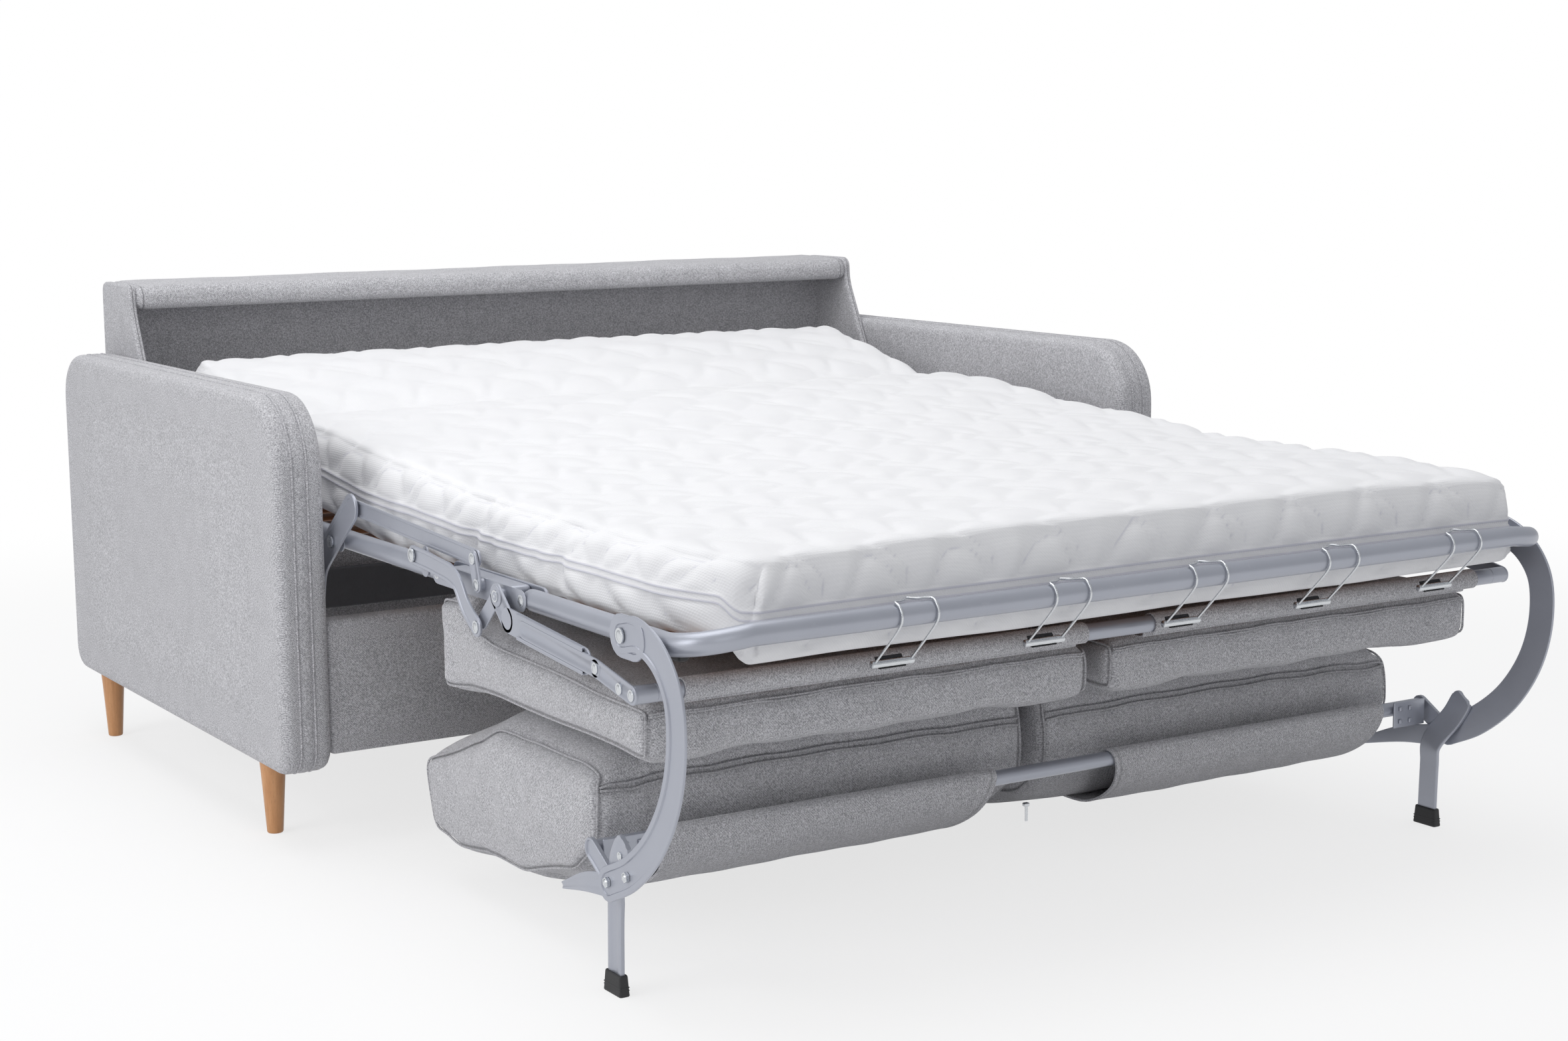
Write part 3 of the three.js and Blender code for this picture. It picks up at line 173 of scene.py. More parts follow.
def skin(rings: Sequence[np.ndarray], cap: Cap = Cap.FLAT, seams: Sequence[float] | None = None) -> Shape:
    """Lays a skin over rings of equal point counts.

    Args:
        rings: the rings in order.
        cap: whether the ends are closed or joined to each other.
        seams: the share of seam of each ring.

    Returns:
        The closed shape.
    """
    count = len(rings[0])
    steps = len(rings) if cap is Cap.LOOP else len(rings) - 1
    faces: list[tuple[int, ...]] = []
    for r in range(steps):
        low, high = r * count, ((r + 1) % len(rings)) * count
        faces += [(low + i, low + (i + 1) % count, high + (i + 1) % count, high + i) for i in range(count)]
    if cap is Cap.FLAT:
        faces.append(tuple(range(count))[::-1])
        faces.append(tuple(range((len(rings) - 1) * count, len(rings) * count)))
    share = None if seams is None else np.repeat(np.asarray(seams, float), count)
    return Shape(np.concatenate([np.asarray(ring, float) for ring in rings]), faces, share)


def smooth_route(places: Sequence[Sequence[float]], steps: int) -> np.ndarray:
    """A centripetal spline through the places.

    Args:
        places: the points that the route passes.
        steps: how many steps each span is cut into.

    Returns:
        The points along the route.
    """
    p = np.asarray(places, float)
    p = np.vstack([2 * p[0] - p[1], p, 2 * p[-1] - p[-2]])
    out = []
    for i in range(1, len(p) - 2):
        a, b, c, d = p[i - 1 : i + 3]
        gaps = [max(float(np.linalg.norm(v)) ** 0.5, 1e-4) for v in (b - a, c - b, d - c)]
        m1 = ((b - a) / gaps[0] - (c - a) / (gaps[0] + gaps[1]) + (c - b) / gaps[1]) * gaps[1]
        m2 = ((c - b) / gaps[1] - (d - b) / (gaps[1] + gaps[2]) + (d - c) / gaps[2]) * gaps[1]
        for k in range(steps):
            t = k / steps
            cubic = (2 * b - 2 * c + m1 + m2) * t**3 + (3 * c - 3 * b - 2 * m1 - m2) * t**2
            out.append(cubic + m1 * t + b)
    out.append(p[-2])
    return np.array(out)


def rounded_corners(places: Sequence[Place], radius: float, steps: int = 6) -> np.ndarray:
    """Rounds each corner of a closed outline by an arc-like curve.

    Args:
        places: the corners in order.
        radius: how far from a corner its rounding starts.
        steps: how many steps each corner has.

    Returns:
        The outline's points.
    """
    p = np.asarray(places, float)
    out = []
    for i in range(len(p)):
        here, before, after = p[i], p[i - 1], p[(i + 1) % len(p)]
        reach = min(radius, 0.45 * float(np.linalg.norm(before - here)), 0.45 * float(np.linalg.norm(after - here)))
        start = here + (before - here) * reach / np.linalg.norm(before - here)
        end = here + (after - here) * reach / np.linalg.norm(after - here)
        for k in range(steps + 1):
            t = k / steps
            out.append(start * (1 - t) ** 2 + 2 * here * t * (1 - t) + end * t**2)
    return np.array(out)


def cornered_outline(low: Place, high: Place, radii: Sequence[float], steps: int = 12) -> np.ndarray:
    """A rectangle with its own radius at each corner.

    Args:
        low: the lowest (y, z).
        high: the highest (y, z).
        radii: the corner radii, anticlockwise from the low front.
        steps: how many steps each corner has.

    Returns:
        The outline's points, anticlockwise.
    """
    spots = [(low[0], low[1], 1, 1), (high[0], low[1], -1, 1), (high[0], high[1], -1, -1), (low[0], high[1], 1, -1)]
    out = []
    for k, ((y, z, dy, dz), r) in enumerate(zip(spots, radii)):
        for i in range(steps + 1):
            angle = math.pi + math.pi / 2 * (k + i / steps)
            out.append((y + dy * r + r * math.cos(angle), z + dz * r + r * math.sin(angle)))
    return np.array(out)


def rectangle(middle: Place, width: float, length: float) -> list[Place]:
    """The corners of a rectangle, anticlockwise from its lowest."""
    x, y = middle
    return [(x + a * width / 2, y + b * length / 2) for a, b in ((-1, -1), (1, -1), (1, 1), (-1, 1))]


def even_loop(outline: np.ndarray, count: int) -> np.ndarray:
    """A closed outline cut into equal steps.

    Args:
        outline: the closed outline.
        count: how many steps it is cut into.

    Returns:
        The points at the steps.
    """
    closed = np.vstack([outline, outline[:1]])
    along = np.concatenate([[0], np.cumsum(np.linalg.norm(np.diff(closed, axis=0), axis=1))])
    at = np.linspace(0, along[-1], count, endpoint=False)
    return np.stack([np.interp(at, along, closed[:, k]) for k in range(closed.shape[1])], axis=1)


def drawn_in(outline: np.ndarray, inset: float) -> np.ndarray:
    """An anticlockwise outline moved inward by a small inset.

    Args:
        outline: the outline.
        inset: how far it moves inward.

    Returns:
        The moved outline.
    """
    along = np.roll(outline, -1, axis=0) - np.roll(outline, 1, axis=0)
    along /= np.maximum(np.linalg.norm(along, axis=1, keepdims=True), 1e-9)
    return outline + np.stack([-along[:, 1], along[:, 0]], axis=1) * inset


def across(x: float, outline: np.ndarray) -> np.ndarray:
    """A side-view outline placed at one x."""
    return np.column_stack([np.full(len(outline), x), outline])


def slab(outline: np.ndarray, profile: Sequence[Point], crowns: tuple[float, float] = (0, 0)) -> Shape:
    """A panel in the side view whose faces run on to their middle.

    Args:
        outline: the even, anticlockwise outline.
        profile: (x, inset, seam) of each ring from one face to the other.
        crowns: how far the first and the last face bulge outward.

    Returns:
        The closed shape.
    """
    middle = outline.mean(axis=0)
    rings, seams = [], []
    shares = [0.02, 0.2, 0.42, 0.62, 0.8, 0.92]
    for x, inset, seam in profile:
        rings.append(across(x, drawn_in(outline, inset)))
        seams.append(seam)
    for end, sign in ((0, -1), (-1, 1)):
        x, inset, _ = profile[end]
        face = drawn_in(outline, inset)
        inner = [across(x + sign * crowns[end] * (1 - s * s), middle + (face - middle) * s) for s in shares]
        if end == 0:
            rings, seams = inner + rings, [0.0] * len(inner) + seams
        else:
            rings, seams = rings + inner[::-1], seams + [0.0] * len(inner)
    return skin(rings, seams=seams)


def strip_outline(route: Sequence[Place], width: float, steps: int = 8) -> np.ndarray:
    """A round-ended strip of one width along a smooth side-view route.

    Args:
        route: the (y, z) places of its middle line.
        width: its width.
        steps: steps in each span.

    Returns:
        The closed outline.
    """
    line = smooth_route(route, steps)
    along = np.gradient(line, axis=0)
    along /= np.linalg.norm(along, axis=1, keepdims=True)
    side = np.stack([-along[:, 1], along[:, 0]], axis=1) * width / 2
    left, right = line + side, line - side

    def end_cap(centre: np.ndarray, start: np.ndarray) -> np.ndarray:
        """The half round from one edge to the other.

        Args:
            centre: the middle of the strip's end.
            start: the edge that it begins at.

        Returns:
            The points between the edges.
        """
        first = math.atan2(start[1] - centre[1], start[0] - centre[0])
        turns = first - np.pi * np.arange(1, 9) / 9
        return centre + width / 2 * np.stack([np.cos(turns), np.sin(turns)], axis=1)

    outline = np.vstack([left, end_cap(line[-1], left[-1]), right[::-1], end_cap(line[0], right[0])])
    return outline[::-1]


@dataclass(frozen=True)
class Pressed:
    """The pressed rim of a sheet steel strip, on one or both of its faces."""

    rim: float = 0.0
    depth: float = 0.0
    inner_too: bool = False


def strip(route: Sequence[Place], width: float, inner: float, outer: float, pressed: Pressed = Pressed()) -> Shape:
    """A sheet steel strip with softened edges and, where it has one, a pressed rim.

    Args:
        route: its middle line in the side view.
        width: its width.
        inner: the x of its inner face.
        outer: the x of its outer face.
        pressed: the rim's width and depth.

    Returns:
        The closed shape.
    """
    edge = min(0.8, (outer - inner) / 4)
    rings = [(inner, width - 2 * edge), (inner + edge, width), (outer - edge, width), (outer, width - 2 * edge)]
    if pressed.depth:
        wide, narrow = width - 2 * pressed.rim, width - 2 * pressed.rim - 2.4
        rings += [(outer, wide), (outer - pressed.depth, narrow)]
        if pressed.inner_too:
            rings = [(inner + pressed.depth, narrow), (inner, wide)] + rings
    return skin([across(x, strip_outline(route, w)) for x, w in rings])


def tube(points: Sequence[Sequence[float]], radius: float, sides: int = 20, cap: Cap = Cap.FLAT) -> Shape:
    """A round bar along a route, with softened ends.

    Args:
        points: the points of its middle line.
        radius: its radius.
        sides: how many sides its section has.
        cap: whether it is open-ended or a closed loop.

    Returns:
        The closed shape.
    """
    line = np.asarray(points, float)
    if cap is Cap.LOOP:
        along = np.roll(line, -1, axis=0) - np.roll(line, 1, axis=0)
    else:
        along = np.gradient(line, axis=0)
    along /= np.maximum(np.linalg.norm(along, axis=1, keepdims=True), 1e-9)
    up = np.array([0.0, 0.0, 1.0]) if abs(along[0][2]) < 0.9 else np.array([0.0, 1.0, 0.0])
    side = np.cross(along[0], up)
    cos, sin = circle(sides).T
    rings, sizes = [], []
    for point, direction in zip(line, along):
        side = side - direction * float(side @ direction)
        side /= np.linalg.norm(side)
        over = np.cross(direction, side)
        rings.append((point, side.copy(), over))
        sizes.append(radius)
    if cap is Cap.FLAT:
        soft = min(radius * 0.15, 1.5)
        first, last = rings[0], rings[-1]
        rings[0] = (first[0] + along[0] * soft, first[1], first[2])
        rings[-1] = (last[0] - along[-1] * soft, last[1], last[2])
        rings = [first] + rings + [last]
        sizes = [radius - soft] + sizes + [radius - soft]
    laid = [at + r * (np.outer(cos, a) + np.outer(sin, b)) for (at, a, b), r in zip(rings, sizes)]
    return skin(laid, cap)


def turned_part(profile: Sequence[Place], place: Place, sides: int = 28, cap: Cap = Cap.FLAT) -> Shape:
    """A part turned about an X axis.

    Args:
        profile: (x, radius) of each ring.
        place: the axis's (y, z).
        sides: how many sides it has.
        cap: whether it is solid or a ring round its axis.

    Returns:
        The closed shape.
    """
    ring = circle(sides)
    return skin([across(x, np.asarray(place) + ring * r) for x, r in profile], cap)


def washer_stack(inner: float, outer: float, radius: float, place: Place) -> Shape:
    """A round collar between two x places, with softened rims."""
    e = min(0.6, (outer - inner) / 3)
    return turned_part([(inner, radius - e), (inner + e, radius), (outer - e, radius), (outer, radius - e)], place)


def lattice_box(levels: Sequence[np.ndarray]) -> Shape:
    """The surface of a block cut at the given levels along each axis.

    Args:
        levels: the x, y and z levels.

    Returns:
        The closed shape, with shared points along its edges.
    """
    counts = [len(level) for level in levels]
    grid = np.stack(np.meshgrid(*levels, indexing="ij"), axis=-1).reshape(-1, 3)
    index = np.arange(len(grid)).reshape(counts)
    faces = []
    for axis in range(3):
        for end in (0, -1):
            sheet = np.take(index, end, axis=axis)
            quads = np.stack([sheet[:-1, :-1], sheet[1:, :-1], sheet[1:, 1:], sheet[:-1, 1:]], axis=-1).reshape(-1, 4)
            faces.append(quads if (end == -1) == (axis != 1) else quads[:, ::-1])
    quads = np.concatenate(faces)
    used, renumbered = np.unique(quads, return_inverse=True)
    return Shape(grid[used], [tuple(q) for q in renumbered.reshape(-1, 4).tolist()])


def levels(low: float, high: float, step: float, edge: float = 0.0) -> np.ndarray:
    """Even levels with a few closer ones near both ends, where the edge is rounded.

    Args:
        low: the first level.
        high: the last level.
        step: the widest spacing between levels.
        edge: how far from each end the closer ones reach.

    Returns:
        The levels in order.
    """
    near = edge * np.array([0.0, 0.12, 0.3, 0.55, 0.8]) if edge else np.array([0.0])
    count = max(int(math.ceil((high - low - 2 * edge) / step)), 1)
    middle = np.linspace(low + edge, high - edge, count + 1)
    return np.unique(np.concatenate([low + near, middle, high - near]))


def rounded_box(low: Point, high: Point, radius: float, step: float) -> Shape:
    """A block whose edges and corners are round.

    Args:
        low: its lowest corner.
        high: its highest corner.
        radius: the radius of its edges.
        step: the spacing of its points.

    Returns:
        The closed shape.
    """
    shape = lattice_box([levels(a, b, step, radius) for a, b in zip(low, high)])
    shape.points = soften_edges(shape.points, low, high, radius)
    return shape


def soften_edges(points: np.ndarray, low: Sequence[float], high: Sequence[float], radius: float) -> np.ndarray:
    """Moves the points of a block's surface on to its rounded edges.

    Args:
        points: the points on the block.
        low: its lowest corner.
        high: its highest corner.
        radius: the radius of its edges.

    Returns:
        The moved points.
    """
    inner = np.clip(points, np.asarray(low) + radius, np.asarray(high) - radius)
    out = points - inner
    length = np.linalg.norm(out, axis=1, keepdims=True)
    return inner + out * radius / np.maximum(length, 1e-9)


# Node trees


def feed(tree: bpy.types.NodeTree, socket: bpy.types.NodeSocket, given: object) -> None:
    """Sets or links one input of a node.

    Args:
        tree: the tree that holds the node.
        socket: the input.
        given: a value or socket of the tree, a number or setting, or a colour or vector.
    """
    given = given.socket if isinstance(given, Value) else given
    if isinstance(given, bpy.types.NodeSocket):
        tree.links.new(given, socket)
    elif isinstance(given, tuple) and socket.type == "RGBA":
        socket.default_value = (*given, 1.0)
    else:
        socket.default_value = given


def add_node(
    tree: bpy.types.NodeTree, kind: str, settings: dict, inputs: dict, output: int | str = 0
) -> bpy.types.NodeSocket:
    """Adds a node, with its settings first and then its inputs.

    Args:
        tree: the tree that it joins.
        kind: the node's type.
        settings: its properties.
        inputs: what each input is given, by socket name or number.
        output: the socket that is given back.

    Returns:
        That output.
    """
    made = tree.nodes.new(kind)
    for name, setting in settings.items():
        setattr(made, name, setting)
    for name, given in inputs.items():
        feed(tree, made.inputs[name], given)
    return made.outputs[output]


class Value:
    """A socket of a finish's node tree that takes part in Python arithmetic."""

    def __init__(self, paint: "Paint", socket: bpy.types.NodeSocket) -> None:
        """Keeps the tree and the socket."""
        self.paint = paint
        self.socket = socket

    def _math(self, operation: str, *inputs: "Value | float") -> "Value":
        """One Math node over its inputs."""
        return self.paint.node("ShaderNodeMath", {"operation": operation}, dict(enumerate(inputs)))

    def __add__(self, other: "Value | float") -> "Value":
        """Adds."""
        return self._math("ADD", self, other)

    __radd__ = __add__

    def __sub__(self, other: "Value | float") -> "Value":
        """Subtracts."""
        return self._math("SUBTRACT", self, other)

    def __rsub__(self, other: float) -> "Value":
        """Subtracts this from a number."""
        return self._math("SUBTRACT", other, self)

    def __mul__(self, other: "Value | float") -> "Value":
        """Multiplies."""
        return self._math("MULTIPLY", self, other)

    __rmul__ = __mul__

    def sine(self) -> "Value":
        """The sine of this value."""
        return self._math("SINE", self)

    def above(self, low: float, high: float) -> "Value":
        """A smooth step from 0 at low to 1 at high.

        Args:
            low: where the step begins.
            high: where it ends.

        Returns:
            The step.
        """
        settings = {"interpolation_type": "SMOOTHSTEP"}
        inputs = {"Value": self, "From Min": low, "From Max": high}
        return self.paint.node("ShaderNodeMapRange", settings, inputs)


Colour = tuple[float, float, float]


class Paint:
    """Builds one material's node tree."""

    def __init__(self, name: str) -> None:
        """Makes the material and finds its shader.

        Args:
            name: the material's name.
        """
        self.material = bpy.data.materials.new(name)
        self.material.use_nodes = True
        self.tree = self.material.node_tree
        self.shader = self.tree.nodes["Principled BSDF"]

    def node(self, kind: str, settings: dict, inputs: dict, output: int | str = 0) -> Value:
        """Adds a node to this finish and gives one of its outputs as a value."""
        return Value(self, add_node(self.tree, kind, settings, inputs, output))

    def where(self) -> Value:
        """The object's own coordinates."""
        return self.node("ShaderNodeTexCoord", {}, {}, "Object")

    def place(self, scale: Point = (1, 1, 1)) -> Value:
        """The object's own coordinates, stretched by scale."""
        return self.node("ShaderNodeMapping", {}, {"Vector": self.where(), "Scale": scale})

    def along(self, direction: Point) -> Value:
        """How far a point lies along a direction, in metres."""
        return self.node("ShaderNodeVectorMath", {"operation": "DOT_PRODUCT"}, {0: self.where(), 1: direction}, "Value")

    def cloud(self, scale: float, detail: float = 3.0, stretch: Point = (1, 1, 1), rough: float = 0.5) -> Value:
        """Noise from 0 to 1, with features of about 1/scale metres."""
        inputs = {"Vector": self.place(stretch), "Scale": scale, "Detail": detail, "Roughness": rough}
        return self.node("ShaderNodeTexNoise", {}, inputs)

    def share(self, name: str) -> Value:
        """A share that the mesh keeps at each point."""
        return self.node("ShaderNodeAttribute", {"attribute_name": name}, {}, "Fac")

    def mix(self, share: "Value | float", low: "Value | Colour", high: "Value | Colour") -> Value:
        """A colour between two others."""
        return self.node("ShaderNodeMix", {"data_type": "RGBA"}, {0: share, 6: low, 7: high}, 2)

    def finish(
        self,
        colour: Value,
        roughness: "Value | float",
        height: Value | None = None,
        depth: float = 0.0,
        **fixed: float,
    ) -> bpy.types.Material:
        """Feeds the shader.

        Args:
            colour: the base colour.
            roughness: the roughness.
            height: the relief from 0 to 1, or none.
            depth: how deep the relief is, in metres.
            fixed: shader sockets that hold one number, with _ for a blank.

        Returns:
            The finished material.
        """
        given = {"Base_Color": colour, "Roughness": roughness, **fixed}
        if height is not None:
            given["Normal"] = self.node("ShaderNodeBump", {}, {"Strength": 1.0, "Distance": depth, "Height": height})
        for name, value in given.items():
            feed(self.tree, self.shader.inputs[name.replace("_", " ")], value)
        return self.material


class Finish:
    """A finish that is made once and shared by its pieces."""

    name: str = ""

    def paint(self) -> bpy.types.Material:
        """Builds the finish's node tree."""
        raise NotImplementedError

    def material(self) -> bpy.types.Material:
        """The finish, built at its first use."""
        return bpy.data.materials.get(self.name) or self.paint()


@dataclass(frozen=True)
class MelangeTwill(Finish):
    """Woven upholstery of mixed light and dark yarns."""

    name: str = "melange_twill"
    light: Colour = (0.72, 0.715, 0.745)
    dark: Colour = (0.235, 0.234, 0.25)
    pitch: float = 0.0026

    def paint(self) -> bpy.types.Material:
        """Flecked yarns, soft blotches, twill relief and painted shade along the seams.

        Returns:
            The finished material.
        """
        p = Paint(self.name)
        turn = 2 * math.pi / self.pitch / math.sqrt(2)
        ridges = [((turn, turn, turn), 90), ((turn, turn, -turn), 70), ((turn, -turn, turn), 80)]
        first, second, third = ((p.along(way) + p.cloud(scale, 2) * 5).sine() for way, scale in ridges)
        weave = first * 0.22 + second * 0.16 + third * 0.14 + 0.5
        fleck = p.cloud(430, 3, rough=0.75)
        blotch = p.cloud(34, 3)
        mixed = (fleck * 1.9 - 0.45) * 0.72 + weave * 0.2 + blotch * 0.1
        yarn = p.mix(mixed.above(0.2, 0.86), self.dark, self.light)
        # Where the mesh marks a seam, the colour goes towards half the dark yarn: painted shade in the seam grooves.
        seam = p.share("seam").above(0.15, 0.9)
        shaded = p.mix(seam * 0.42, yarn, tuple(c * 0.5 for c in self.dark))
        relief = weave * 0.6 + fleck * 0.6
        return p.finish(shaded, 0.86 + fleck * 0.1, relief, 0.0007, Sheen_Weight=0.25, Sheen_Roughness=0.5)


@dataclass(frozen=True)
class LiningCloth(Finish):
    """Thin charcoal cloth on the inside of the sofa."""

    name: str = "lining_cloth"
    light: Colour = (0.17, 0.172, 0.185)
    dark: Colour = (0.09, 0.091, 0.10)

    def paint(self) -> bpy.types.Material:
        """A plain matt cloth with a fibrous fleck.

        Returns:
            The finished material.
        """
        p = Paint(self.name)
        fibre = p.cloud(420, 4, (1, 1, 0.4), 0.7)
        mixed = fibre * 0.7 + p.cloud(12, 2) * 0.3
        return p.finish(p.mix(mixed, self.dark, self.light), 0.85 + fibre * 0.12, fibre, 0.0004)


class GrainAxis(Enum):
    """Which way a wooden piece's grain runs."""

    UPRIGHT = (1.0, 1.0, 0.07)
    CROSSWISE = (0.05, 1.0, 1.0)


@dataclass(frozen=True)
class Beech(Finish):
    """Lacquered beech."""

    name: str = "beech"
    light: Colour = (0.66, 0.34, 0.15)
    dark: Colour = (0.50, 0.225, 0.085)
    axis: GrainAxis = GrainAxis.UPRIGHT
    coat: float = 0.25

    def paint(self) -> bpy.types.Material:
        """Long growth lines, short dark rays and a thin lacquer.

        Returns:
            The finished material.
        """
        p = Paint(self.name)
        warp = p.cloud(9, 2, self.axis.value)
        lines = p.cloud(150, 5, self.axis.value, 0.62)
        ray_stretch = tuple(s if s < 1 else 1.4 for s in self.axis.value)
        rays = p.cloud(900, 1, ray_stretch).above(0.62, 0.74)
        tone = p.mix((lines * 0.75 + warp * 0.5 - 0.1).above(0.25, 0.8), self.dark, self.light)
        flecked = p.mix(rays * 0.35, tone, tuple(c * 0.5 for c in self.dark))
        relief = lines * 0.6 + rays * 0.3
        return p.finish(flecked, 0.36 + lines * 0.2, relief, 0.0002, Coat_Weight=self.coat, Coat_Roughness=0.22)


@dataclass(frozen=True)
class PaintedSteel(Finish):
    """Silver powder coat on bent steel."""

    name: str = "silver_powder_coat"
    light: Colour = (0.47, 0.49, 0.55)
    dark: Colour = (0.34, 0.355, 0.41)

    def paint(self) -> bpy.types.Material:
        """Fine metallic flake, faint orange peel and handling marks.

        Returns:
            The finished material.
        """
        p = Paint(self.name)
        flake = p.cloud(1500, 2, rough=0.8)
        cloudy = p.cloud(14, 3)
        scuff = p.cloud(60, 4, (1, 0.2, 1), 0.7).above(0.62, 0.78)
        tone = p.mix(flake * 0.6 + cloudy * 0.4, self.dark, self.light)
        worn = p.mix(scuff * 0.25, tone, (0.58, 0.59, 0.62))
        rough = 0.34 + cloudy * 0.1 + scuff * 0.08
        relief = flake * 0.3 + p.cloud(260, 2) * 0.7
        return p.finish(worn, rough, relief, 0.00012, Metallic=0.55, Coat_Weight=0.15, Coat_Roughness=0.2)


@dataclass(frozen=True)
class BrightZinc(Finish):
    """Bright zinc plate on wire, rivets and screws."""

    name: str = "bright_zinc"
    light: Colour = (0.78, 0.8, 0.82)
    dark: Colour = (0.52, 0.54, 0.57)

    def paint(self) -> bpy.types.Material:
        """Plated metal with faint spangle and drawn lines.

        Returns:
            The finished material.
        """
        p = Paint(self.name)
        spangle = p.cloud(240, 3)
        lines = p.cloud(700, 2, (0.15, 1, 1))
        tone = p.mix(spangle * 0.6 + lines * 0.4, self.dark, self.light)
        return p.finish(tone, 0.2 + spangle * 0.16, lines, 0.00008, Metallic=1.0)


@dataclass(frozen=True)
class MouldedPlastic(Finish):
    """Black moulded plastic."""

    name: str = "black_moulded_plastic"
    light: Colour = (0.032, 0.032, 0.034)
    dark: Colour = (0.012, 0.012, 0.013)

    def paint(self) -> bpy.types.Material:
        """A spark-eroded texture that is polished on its high places.

        Returns:
            The finished material.
        """
        p = Paint(self.name)
        grit = p.cloud(1300, 3, rough=0.7)
        cloudy = p.cloud(40, 2)
        return p.finish(p.mix(grit * 0.5 + cloudy * 0.5, self.dark, self.light), 0.42 + grit * 0.22, grit, 0.00015)


@dataclass(frozen=True)
class Webbing(Finish):
    """Black woven webbing of the mattress straps."""

    name: str = "black_webbing"
    light: Colour = (0.05, 0.05, 0.055)
    dark: Colour = (0.012, 0.012, 0.014)
    pitch: float = 0.0022

    def paint(self) -> bpy.types.Material:
        """Cross ribs with a fibrous fleck.

        Returns:
            The finished material.
        """
        p = Paint(self.name)
        rib = p.along((2 * math.pi / self.pitch, 0, 0)).sine() * 0.5 + 0.5
        fibre = p.cloud(900, 3)
        tone = p.mix(rib * 0.5 + fibre * 0.5, self.dark, self.light)
        return p.finish(tone, 0.7 + fibre * 0.2, rib * 0.7 + fibre * 0.3, 0.0004)


@dataclass(frozen=True)
class QuiltedCover(Finish):
    """White knitted mattress cover."""

    name: str = "quilted_cover"
    light: Colour = (0.84, 0.84, 0.85)
    dark: Colour = (0.77, 0.77, 0.79)
    thread: Colour = (0.56, 0.56, 0.64)
    pitch: float = 0.0042

    def paint(self) -> bpy.types.Material:
        """Knitted wales, stitched quilting lines and a tinted zip tape.

        Returns:
            The finished material.
        """
        p = Paint(self.name)
        turn = 2 * math.pi / self.pitch
        wale = (p.along((turn, turn * 0.12, turn)) + p.cloud(30, 2) * 3).sine() * 0.5 + 0.5
        course = (p.along((turn * 0.1, turn, turn * 0.6)) + p.cloud(26, 2) * 3).sine() * 0.5 + 0.5
        knit = wale * 0.5 + course * 0.5
        soft = p.cloud(20, 3)
        cloth = p.mix(knit * 0.3 + soft * 0.7, self.dark, self.light)
        stitched = p.mix(p.share("seam").above(0.2, 1.0) * 0.75, cloth, self.thread)
        return p.finish(stitched, 0.8 + soft * 0.15, knit * 0.5 + p.cloud(500, 2) * 0.3, 0.0005, Sheen_Weight=0.15)


TWILL = MelangeTwill()
LINING = LiningCloth()
LEG_BEECH = Beech("lacquered_beech")
SLAT_BEECH = Beech("bent_beech_slats", (0.42, 0.19, 0.085), (0.27, 0.105, 0.042), GrainAxis.CROSSWISE, 0.15)
STEEL = PaintedSteel()
ZINC = BrightZinc()
PLASTIC = MouldedPlastic()
WEBBING = Webbing()
COVER = QuiltedCover()


# Making and placing pieces


@dataclass(frozen=True)
class Keeping:
    """What a piece rides on, is painted with and stands for."""

    body: str
    finish: Finish
    slot: str
    stands_for: tuple[str, ...] = ()

    def other_side(self) -> "Keeping":
        """The same for the left of a pair."""
        return replace(self, stands_for=tuple(name.replace("_right", "_left") for name in self.stands_for))


def twill(body: str, *nodes: str) -> Keeping:
    """How an upholstered piece is kept, by its body and the nodes that it stands for."""
    return Keeping(body, TWILL, "upholstery", nodes)


def steel(body: str, *nodes: str) -> Keeping:
    """How a painted steel piece is kept, by its body and the nodes that it stands for."""
    return Keeping(body, STEEL, "painted_steel", nodes)


def new_object(name: str, data: bpy.types.ID) -> bpy.types.Object:
    """Makes an object of a mesh, lamp or camera and puts it in the scene.

    Args:
        name: the object's name.
        data: the mesh, lamp or camera.

    Returns:
        The object.
    """
    obj = bpy.data.objects.new(name, data)
    bpy.context.scene.collection.objects.link(obj)
    return obj


def mesh_piece(name: str, shape: Shape, sharp: float = CRISP) -> bpy.types.Object:
    """Makes a smooth-shaded object from a shape.

    Args:
        name: the piece's name.
        shape: its skin in millimetres.
        sharp: edges that turn more than this many degrees stay crisp.

    Returns:
        The object, with its place in its mesh.
    """
    mesh = bpy.data.meshes.new(name)
    mesh.from_pydata(to_row(shape.points).tolist(), [], shape.faces)
    seam = mesh.attributes.new("seam", "FLOAT", "POINT")
    seam.data.foreach_set("value", shape.seams().astype(np.float32))
    work = bmesh.new()
    work.from_mesh(mesh)
    bmesh.ops.remove_doubles(work, verts=work.verts, dist=1e-6)
    bmesh.ops.recalc_face_normals(work, faces=work.faces)
    work.to_mesh(mesh)
    work.free()
    mesh.polygons.foreach_set("use_smooth", [True] * len(mesh.polygons))
    mesh.set_sharp_from_angle(angle=math.radians(sharp))
    return new_object(name, mesh)


def keep(obj: bpy.types.Object, keeping: Keeping) -> bpy.types.Object:
    """Paints a finished piece and lets it ride on its body.

    Args:
        obj: the piece.
        keeping: its body, finish, slot and the nodes that it stands for.

    Returns:
        The same piece.
    """
    obj.data.materials.clear()
    obj.data.materials.append(keeping.finish.material())
    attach(obj, keeping.body)
    if keeping.stands_for:
        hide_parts(*keeping.stands_for)
    LOG.info("%s: %d faces on %s", obj.name, len(obj.data.polygons), keeping.body)
    return obj


def add_piece(name: str, shape: Shape, keeping: Keeping) -> bpy.types.Object:
    """Makes one piece and keeps it."""
    return keep(mesh_piece(name, shape), keeping)


